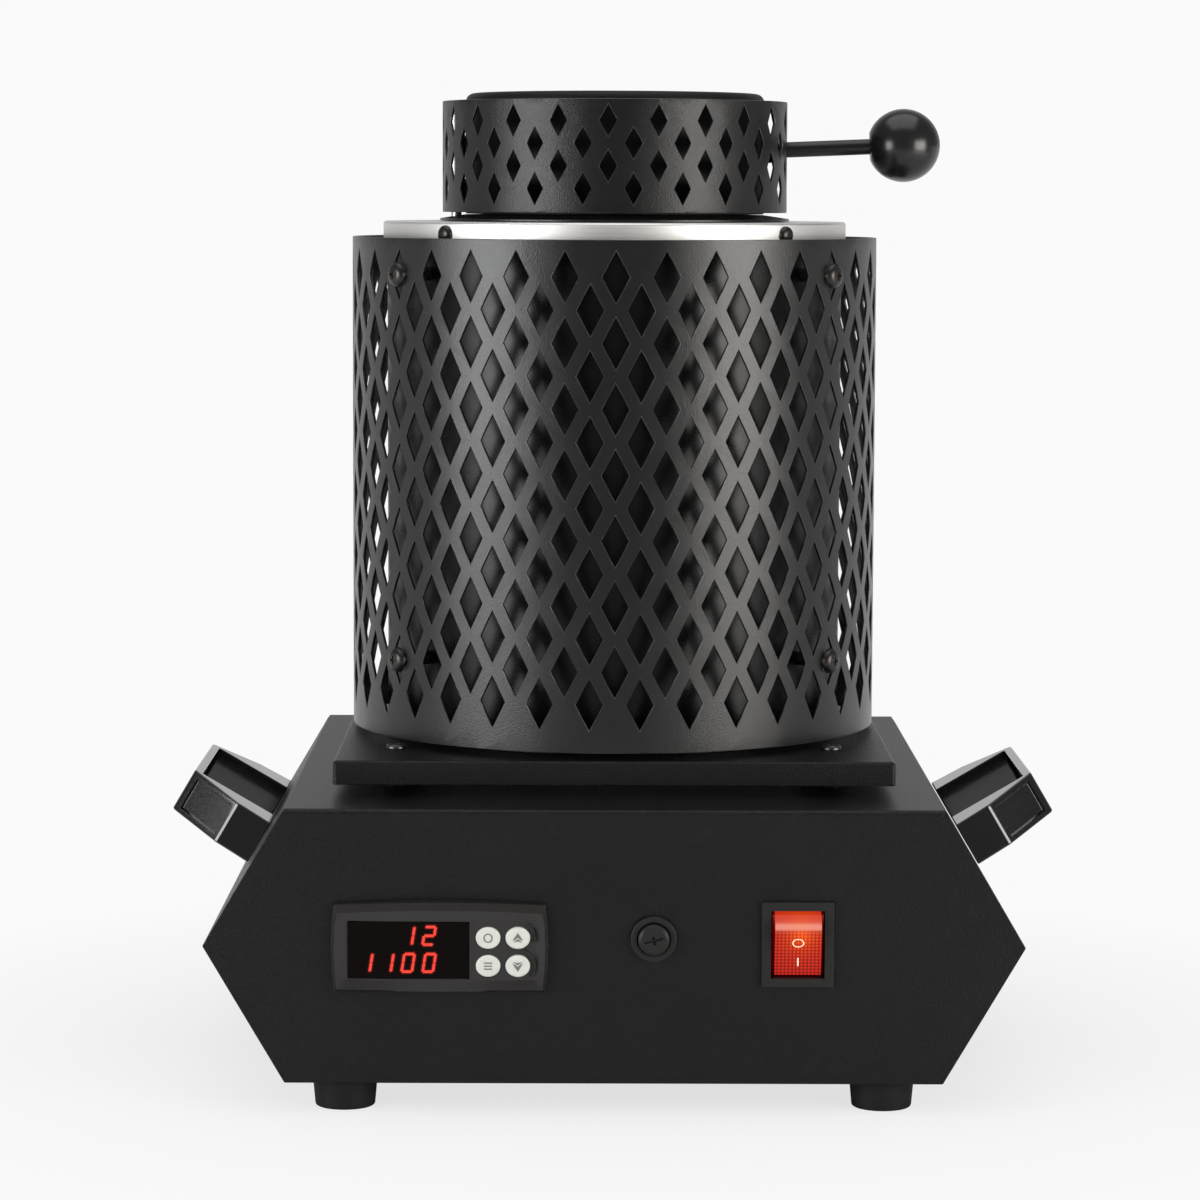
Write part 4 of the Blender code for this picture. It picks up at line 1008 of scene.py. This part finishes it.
bezel = slab(bezel_outline, 0.3, 2.0)
front_face = level_faces(bezel, 2.0)
step_in(bezel, front_face, 0.4, 1.1)
step_in(bezel, front_face, 0.7, 0.4)
for vert in front_face[0].verts:
    if vert.co.y > 12 * mm:
        vert.co.y -= 2.0 * mm
step_in(bezel, front_face, 0.35)
step_in(bezel, front_face, 2.9, -0.1)
rim_height, face_height = 3.5, 3.4
window_half = (22.25, 10.6)
window_centre = (-11.2, -0.5)
sink(bezel, box_outline(window_centre, window_half), face_height, 1.0)
key_spots = {
    "upper_left": (17.7, 4.15),
    "upper_right": (28.5, 4.15),
    "lower_left": (17.7, -6.15),
    "lower_right": (28.5, -6.15),
}
for spot in key_spots.values():
    sink(bezel, oval_outline(spot, (4.75, 4.3), 20), face_height, 2.2)
for step in range(1, 16):
    sliced(bezel, ((step / 8 - 1) * bezel_half * mm, 0, 0), (1, 0, 0))
for vert in bezel.verts:
    share = vert.co.x / (bezel_half * mm)
    if vert.co.z > (rim_height + face_height) / 2 * mm:
        vert.co.z += (1.05 - 0.7 * share * share) * mm
    elif vert.co.z > 2.1 * mm:
        vert.co.z += (1.0 - 1.6 * share * share) * mm
soften(bezel, 0.26, 2, 35.0)


def arc_ridge(spot, radius, start, sweep, low, high):
    """A raised crescent: a small trapezium spun part of the way round."""
    shape = bmesh.new()
    ridge = [(radius - 0.5, low), (radius + 0.5, low), (radius + 0.2, high), (radius - 0.2, high)]
    corners = [shape.verts.new((across * mm, 0, up * mm)) for across, up in ridge]
    end = shape.faces.new(corners)
    spun(shape, corners + list(end.edges) + [end], math.radians(sweep), 14, False)
    bmesh.ops.recalc_face_normals(shape, faces=shape.faces[:])
    return placed(shape, move(spot[0], spot[1], 0) @ turn(start))


ridges = [
    arc_ridge(key_spots["upper_right"], 6.2, -14, 67, 2.4, 4.6),
    arc_ridge(key_spots["lower_right"], 6.2, -40, 108, 2.4, 4.6),
]
case_body = bmesh.new()
case_size = Matrix.Diagonal((71.0 * mm, 28.0 * mm, 60.0 * mm, 1))
bmesh.ops.create_cube(case_body, size=1, matrix=move(0, 0, -29.4) @ case_size)
housing = placed(gathered([bezel, case_body] + ridges), controller_place)
nodes = ["controller_case"]
finished("controller_bezel", housing, housing_grey, "furnace", nodes)
dressed(window_tint, "controller_window")

# %% [markdown]
# ## Keys and their marks
#
# The four keys are pearly oval domes. The right pair carries double arrows, up and down. The
# left pair has plain marks, a ring and a menu sign. Marks are thin raised slabs, so they
# export as real shapes.

# %% Press the keys
key_top = 4.8


def key_dome(spot):
    """An oval key with a soft shoulder and a slightly domed top."""
    shape = slab(oval_outline(spot, (4.5, 4.05), 32), key_top - 2.8, key_top - 0.45)
    crown = level_faces(shape, key_top - 0.45)
    step_in(shape, crown, 0.35, 0.25)
    step_in(shape, crown, 0.9, 0.15)
    return shape


def arrow_outlines(spot, sign):
    """A double arrowhead: a chevron above a small wedge."""
    x, y = spot
    chevron = [(-1.9, -0.9), (0, 2.0), (1.9, -0.9), (0.8, -0.55), (0, 0.2), (-0.8, -0.55)]
    wedge = [(-1.75, -1.55), (0, -0.35), (1.75, -1.55), (0, -1.2)]
    return [[(x + px, y + sign * py) for px, py in outline] for outline in (chevron, wedge)]


def mark(outline):
    return slab(outline, key_top - 0.08, key_top + 0.05)


def ring_mark(spot, radius, width):
    profile = [(radius, -0.08), (radius, 0.05), (radius - width, 0.05), (radius - width, -0.08)]
    return placed(turned(profile, 28, closed=True), move(spot[0], spot[1], key_top))


menu_x, menu_y = key_spots["lower_left"]
marks = {
    "upper_left": [ring_mark(key_spots["upper_left"], 1.7, 0.45)],
    "lower_left": [
        mark(box_outline((menu_x, menu_y + shift), (1.5, 0.24))) for shift in (-1.1, 0.0, 1.1)
    ],
    "upper_right": [mark(outline) for outline in arrow_outlines(key_spots["upper_right"], 1)],
    "lower_right": [mark(outline) for outline in arrow_outlines(key_spots["lower_right"], -1)],
}
for corner, spot in key_spots.items():
    body = corner + "_key"
    dome = placed(key_dome(spot), controller_place)
    finished("pearl_key_" + corner, dome, key_pearl, body, ["key_" + corner], 60.0)
    legend = placed(gathered(marks[corner]), controller_place)
    finished("key_mark_" + corner, legend, legend_grey, body, ())

# %% [markdown]
# ## Lit digits
#
# A seven-segment digit is seven short bars with pointed ends, leaning nine degrees. A bar is
# a six-sided circle whose right half is pulled away from its left. Only the lit bars are
# made: a twelve above an eleven hundred.

# %% Light the digits
lit_bars = {"0": "abcdef", "1": "bc", "2": "abged"}
digit_width, digit_height, bar_width, bar_gap = 3.7, 6.5, 1.0, 0.55
bar_places = {
    "a": (0, digit_height / 2, 0),
    "g": (0, 0, 0),
    "d": (0, -digit_height / 2, 0),
    "f": (-digit_width / 2, digit_height / 4, 90),
    "b": (digit_width / 2, digit_height / 4, 90),
    "e": (-digit_width / 2, -digit_height / 4, 90),
    "c": (digit_width / 2, -digit_height / 4, 90),
}


def lit_bar(length, width, thickness):
    """A pointed bar: the right half of a hexagon pulled away from its left half."""
    shape = bmesh.new()
    radius = width / 2 / math.cos(math.radians(30)) * mm
    bmesh.ops.create_circle(shape, cap_ends=True, segments=6, radius=radius)
    along = [vert for vert in shape.verts if abs(vert.co.x) > abs(vert.co.y)]
    if len(along) != 2:
        bmesh.ops.transform(shape, matrix=turn(30), verts=shape.verts[:])
    for side in (-1, 1):
        half = [vert for vert in shape.verts if side * vert.co.x > 0]
        bmesh.ops.translate(shape, verts=half, vec=(side * (length - width) / 2 * mm, 0, 0))
    return raised(shape, thickness)


def lit_digit(character, x, y, spread, thickness):
    """One leaning digit, its middle at x and y on the window."""
    lean = Matrix.Identity(4)
    lean[0][1] = math.tan(math.radians(9))
    bars = []
    for name in lit_bars[character]:
        bar_x, bar_y, degrees = bar_places[name]
        length = (digit_width if degrees == 0 else digit_height / 2) - bar_gap + spread
        bar = lit_bar(length + bar_width * 0.5, bar_width + spread, thickness)
        bars.append(placed(bar, move(x, y, 3.61) @ lean @ move(bar_x, bar_y, 0) @ turn(degrees)))
    return bars


digit_pitch, units_x = 7.65, -3.7
rows_of_digits = (("12", 4.75), ("1100", -5.2))
# The halo copy, wider and thinner, is painted glow: the digits' light spread into the window.
for name, finish, spread, thickness in (
    ("lit_digits", segment_red, 0.0, 0.09),
    ("digit_halo", halo_red, 0.9, 0.04),
):
    bars = []
    for text, y in rows_of_digits:
        for place, character in enumerate(reversed(text)):
            bars += lit_digit(character, units_x - place * digit_pitch, y, spread, thickness)
    lit = placed(gathered(bars), controller_place)
    finished(name, lit, finish, "furnace", ())

# %% [markdown]
# ## Fuse holder
#
# A round panel holder with a bayonet cap. The cap has a short slot for a coin, turned a
# little, with a small cross cut at its middle. The glass fuse inside leaves with the cap.

# %% Turn the fuse holder
fuse_place = front_panel @ move(14.4, 3.3, 0)
holder = [(0, -24.9), (2.9, -24.9), (2.9, -6.3), (6.0, -6.3), (6.0, 2.0), (8.4, 2.0)]
holder += [(8.4, 0.3), (7.1, 0.3), (7.1, -34.0), (0, -34.0)]
ring = placed(turned(rounded(holder, 0.45, 3), 64), fuse_place)
finished("fuse_ring", ring, matte_black, "furnace", ["fuse_holder"])
cap_top = 4.6
head_corners = [(0, cap_top), (4.6, cap_top), (5.7, cap_top - 0.9), (5.7, -6.0), (0, -6.0)]
fuse_head = turned(rounded(head_corners, 0.35, 3), 48)
bmesh.ops.dissolve_faces(fuse_head, faces=level_faces(fuse_head, cap_top))
for outline in (
    box_outline((0, 0), (3.4, 0.45)),
    [(-0.45, 0.45), (0.45, 0.45), (0.45, 1.5), (-0.45, 1.5)],
    [(-0.45, -1.5), (0.45, -1.5), (0.45, -0.45), (-0.45, -0.45)],
):
    sink(fuse_head, outline, cap_top, 0.9)
placed(cleaned(fuse_head), fuse_place @ turn(14))
finished("fuse_head", fuse_head, matte_black, "fuse_carrier", ["fuse_cap"])
fuse_glass = Finish("fuse_glass")
clear = fuse_glass.noise(3 * mm)
glass_colour = fuse_glass.blend(clear, (0.70, 0.74, 0.72), (0.82, 0.85, 0.84))
fuse_glass.surface(glass_colour, 0.05 + 0.05 * clear)
glass = rounded([(0, -10.6), (2.45, -10.6), (2.45, -22.6), (0, -22.6)], 0.2, 1)
glass_tube = placed(turned(glass, 32), fuse_place)
finished("fuse_tube", glass_tube, fuse_glass, "fuse_carrier", ["fuse_link"])
for end, low in (("near", -10.5), ("far", -26.6)):
    ferrule = rounded([(0, low + 3.9), (2.6, low + 3.9), (2.6, low), (0, low)], 0.4, 3)
    band = placed(turned(ferrule, 32), fuse_place)
    finished("fuse_ferrule_" + end, band, pin_steel, "fuse_carrier", ())

# %% [markdown]
# ## The lit rocker switch
#
# The housing is a flat frame round a deep well. The rocker's side view is swept across the
# opening: a short upper face, a crest and a long lower face that leans back, its off mark
# above its on mark. The crest is rounded; the pale band along it is a painted highlight in the
# lens's glow.

# %% Build the switch
switch_place = front_panel @ move(66.8, 1.4, 0)
switch_frame = slab(box_outline((0, 0), (13.15, 15.7)), 0.3, 1.8)
soften(switch_frame, 0.35, 2, 60.0)
sink(switch_frame, box_outline((0, 0), (10.5, 13.2)), 0.3, -13.3)
sink(switch_frame, box_outline((0, 0), (9.8, 12.45)), 1.8, 13.8)
placed(switch_frame, switch_place)
nodes = ["switch_housing"]
finished("switch_frame", switch_frame, matte_black, "furnace", nodes)
rocker_side = rounded([(9.6, 3.96), (8.6, 5.6), (5.0, 5.3)], 2.2, 6)
rocker_side += [(0, 4.9), (-10.7, 4.3), (-11.4, 0.5), (-11.2, -4.0), (11.2, -4.0), (11.75, 0.5)]
rocker_upright = Matrix(((0, 0, 1), (1, 0, 0), (0, 1, 0))).to_4x4()
rocker_place = switch_place @ move(0, 0, -1.5) @ rocker_upright @ turn(13)
rocker = slab(rocker_side, -9.55, 9.55)
for vert in rocker.verts:
    if vert.co.y > 3 * mm:
        vert.co.z *= 8.5 / 9.55
soften(rocker, 0.45, 3, 38.0)
placed(rocker, rocker_place)
finished("lens_rocker", rocker, lens_red, "power_rocker", ["switch_rocker"])
upper_tilt = math.degrees(math.atan2(0.4, 5.0))
lower_tilt = math.degrees(math.atan2(0.6, 10.7))
off_ring = turned([(2.2, -0.15), (2.2, 0.06), (1.75, 0.06), (1.75, -0.15)], 36, closed=True)
bmesh.ops.scale(off_ring, vec=(0.78, 1.0, 1.0), verts=off_ring.verts[:])
off_mark = placed(off_ring, rocker_place @ move(2.3, 5.08, 0) @ turn(upper_tilt) @ turn(-90, "X"))
on_mark = placed(
    slab(box_outline((0, 0), (1.65, 0.28)), -0.15, 0.06),
    rocker_place @ move(-5.3, 4.6, 0) @ turn(lower_tilt) @ turn(-90, "X"),
)
finished("rocker_marks", gathered([off_mark, on_mark]), legend_cream, "power_rocker", ())

# %% [markdown]
# ## The power inlet
#
# At the rear, a flange with rounded ends surrounds the usual six-sided socket with its three
# blades. The photograph doesn't show this side, so it follows the standard part.

# %% Build the inlet
inlet_place = move(65.0, casing_back, casing_mid) @ turn(180) @ turn(90, "X")
flange = slab(
    rounded([(-24, -11.5), (24, -11.5), (24, 11.5), (-24, 11.5)], 5.0, 6, closed=True), 0.3, 2.5
)
soften(flange, 0.5, 3, 60.0)
socket = [(-12, -8.2), (12, -8.2), (12, 3.7), (7.5, 8.2), (-7.5, 8.2), (-12, 3.7)]
sink(flange, box_outline((0, 0), (13.2, 9.6)), 0.3, -16.3)
sink(flange, socket, 2.5, 17.3)
soften(flange, 0.35, 2, 60.0)
blades = []
for x, y in ((-7.0, -2.0), (0.0, 2.0), (7.0, -2.0)):
    blade = slab(box_outline((x, y), (1.0, 2.0)), -14.4, -0.6)
    blades.append(soften(blade, 0.3, 2, 60.0))
placed(flange, inlet_place)
finished("inlet_socket", flange, matte_black, "furnace", ["power_inlet"])
contacts = placed(gathered(blades), inlet_place)
finished("inlet_blades", contacts, pin_steel, "furnace", ())

# %% [markdown]
# ## Inside the drum
#
# Only the tube's lip and the crucible show, and only with the lid open. Both are turned with
# soft edges. The parts that stay hidden keep the frame's solids with a fitting finish.

# %% Fill the chamber
tube = rounded([(41.0, 322.7), (41.0, 156.8), (36.0, 156.8), (36.0, 322.7)], 1.0, 3, closed=True)
lining = turned(tube, 72, closed=True)
finished("fired_tube", lining, tube_ceramic, "furnace", ["muffle_tube"])
cup = rounded(
    [(0, 166.8), (18.5, 166.8), (23.0, 271.8), (30.5, 271.8), (26.0, 156.8), (0, 156.8)], 1.2, 4
)
finished("graphite_cup", turned(cup, 72), graphite, "melting_crucible", ["crucible"])
dressed(fibre_felt, "floor_brick", "insulation_jacket")
dressed(tube_ceramic, "thermocouple", "terminal_block")
dressed(coil_metal, "heating_coil")
dressed(matte_black, "relay")

# %% [markdown]
# ## Studio
#
# The object stands on a pale floor in front of a white backdrop. The world shows white to
# the camera, and to mirrors that look towards the back; the side of the studio behind the
# camera is darker, as in a real one. A broad lamp hangs above and a smaller one stands at each
# side, which draws the soft bands on the drum.

# %% Floor and backdrop
backdrop_white = 0.955
floor_mesh = bpy.data.meshes.new("floor")
plane = bmesh.new()
bmesh.ops.create_grid(plane, x_segments=1, y_segments=1, size=30)
plane.to_mesh(floor_mesh)
plane.free()
floor = bpy.data.objects.new("floor", floor_mesh)
bpy.context.scene.collection.objects.link(floor)
white = (backdrop_white, backdrop_white, backdrop_white, 1.0)
floor_finish = Finish("floor")
floor_x, floor_y, _ = floor_finish.axes()
distance = (floor_x * floor_x + floor_y * floor_y) ** 0.5
reach = {"From Min": 0.14, "From Max": 0.36, "To Min": 0.76}
far = floor_finish.node("MapRange", {"Value": distance, **reach})
behind = floor_finish.node("MapRange", {"Value": floor_y, "From Min": -0.1, "From Max": 0.3})
eye = floor_finish.node("LightPath", {}, "Is Camera Ray")
mirror = floor_finish.node("LightPath", {}, "Is Glossy Ray")
through = floor_finish.node("LightPath", {}, "Is Transmission Ray")
shown = eye * far + (mirror + through) * far * behind
floor_finish.surface((0.86, 0.86, 0.86, 1.0), 0.9, shine=0.2)
bright = floor_finish.node("Emission", {"Color": white})
plain = Signal(floor_finish, floor_finish.shader.outputs[0])
mixed = floor_finish.node("MixShader", {0: shown, 1: plain, 2: bright})
floor_finish.feed(floor_finish.tree.nodes["Material Output"], {0: mixed})
floor_mesh.materials.append(floor_finish.material)

world = bpy.data.worlds.new("studio")
bpy.context.scene.world = world
world.use_nodes = True
sky = Nodes(world.node_tree)
sky.tree.nodes.clear()
towards = sky.node("TexCoord", {}, "Generated")
depth_share = sky.node("SeparateXYZ", {0: towards}, "Y")
levels = {"From Min": 0.54, "From Max": 0.92, "To Min": 0.26, "To Max": 0.85}
front_side = sky.node("MapRange", {"Value": depth_share, **levels})
seen = sky.node("Background", {"Color": white})
mirrored = sky.node("Background", {"Strength": front_side})
soft = sky.node("Background", {"Strength": 0.28})
to_eye = sky.node("LightPath", {}, "Is Camera Ray")
to_mirror = sky.node("LightPath", {}, "Is Glossy Ray")
to_glass = sky.node("LightPath", {}, "Is Transmission Ray")
mirror_ray = sky.node("Math", {0: to_mirror, 1: to_glass}, operation="MAXIMUM")
unseen = sky.node("MixShader", {0: mirror_ray, 1: soft, 2: mirrored})
whole_sky = sky.node("MixShader", {0: to_eye, 1: unseen, 2: seen})
sky.feed(sky.tree.nodes.new("ShaderNodeOutputWorld"), {0: whole_sky})

# %% Lamps


def lamp(name, spot, size, radiance, target=(0, 0, 200)):
    """A rectangular lamp that faces a point; radiance 1 looks white."""
    data = bpy.data.lights.new(name, "AREA")
    data.shape = "RECTANGLE"
    data.size, data.size_y = size[0] * mm, size[1] * mm
    data.energy = radiance * math.pi * data.size * data.size_y
    holder = bpy.data.objects.new(name, data)
    bpy.context.scene.collection.objects.link(holder)
    holder.location = Vector(spot) * mm
    aim = (Vector(target) - Vector(spot)) * mm
    holder.rotation_euler = aim.to_track_quat("-Z", "Y").to_euler()
    return holder


lamp("top_lamp", (0, -100, 1500), (1500, 1300), 1.6)
lamp("left_lamp", (-1150, -800, 350), (860, 580), 8.8).data.color = (0.98, 0.99, 1.0)
lamp("right_lamp", (1120, -840, 350), (820, 580), 9.2).data.color = (1.0, 0.97, 0.94)
bpy.context.scene.view_settings.view_transform = "Standard"
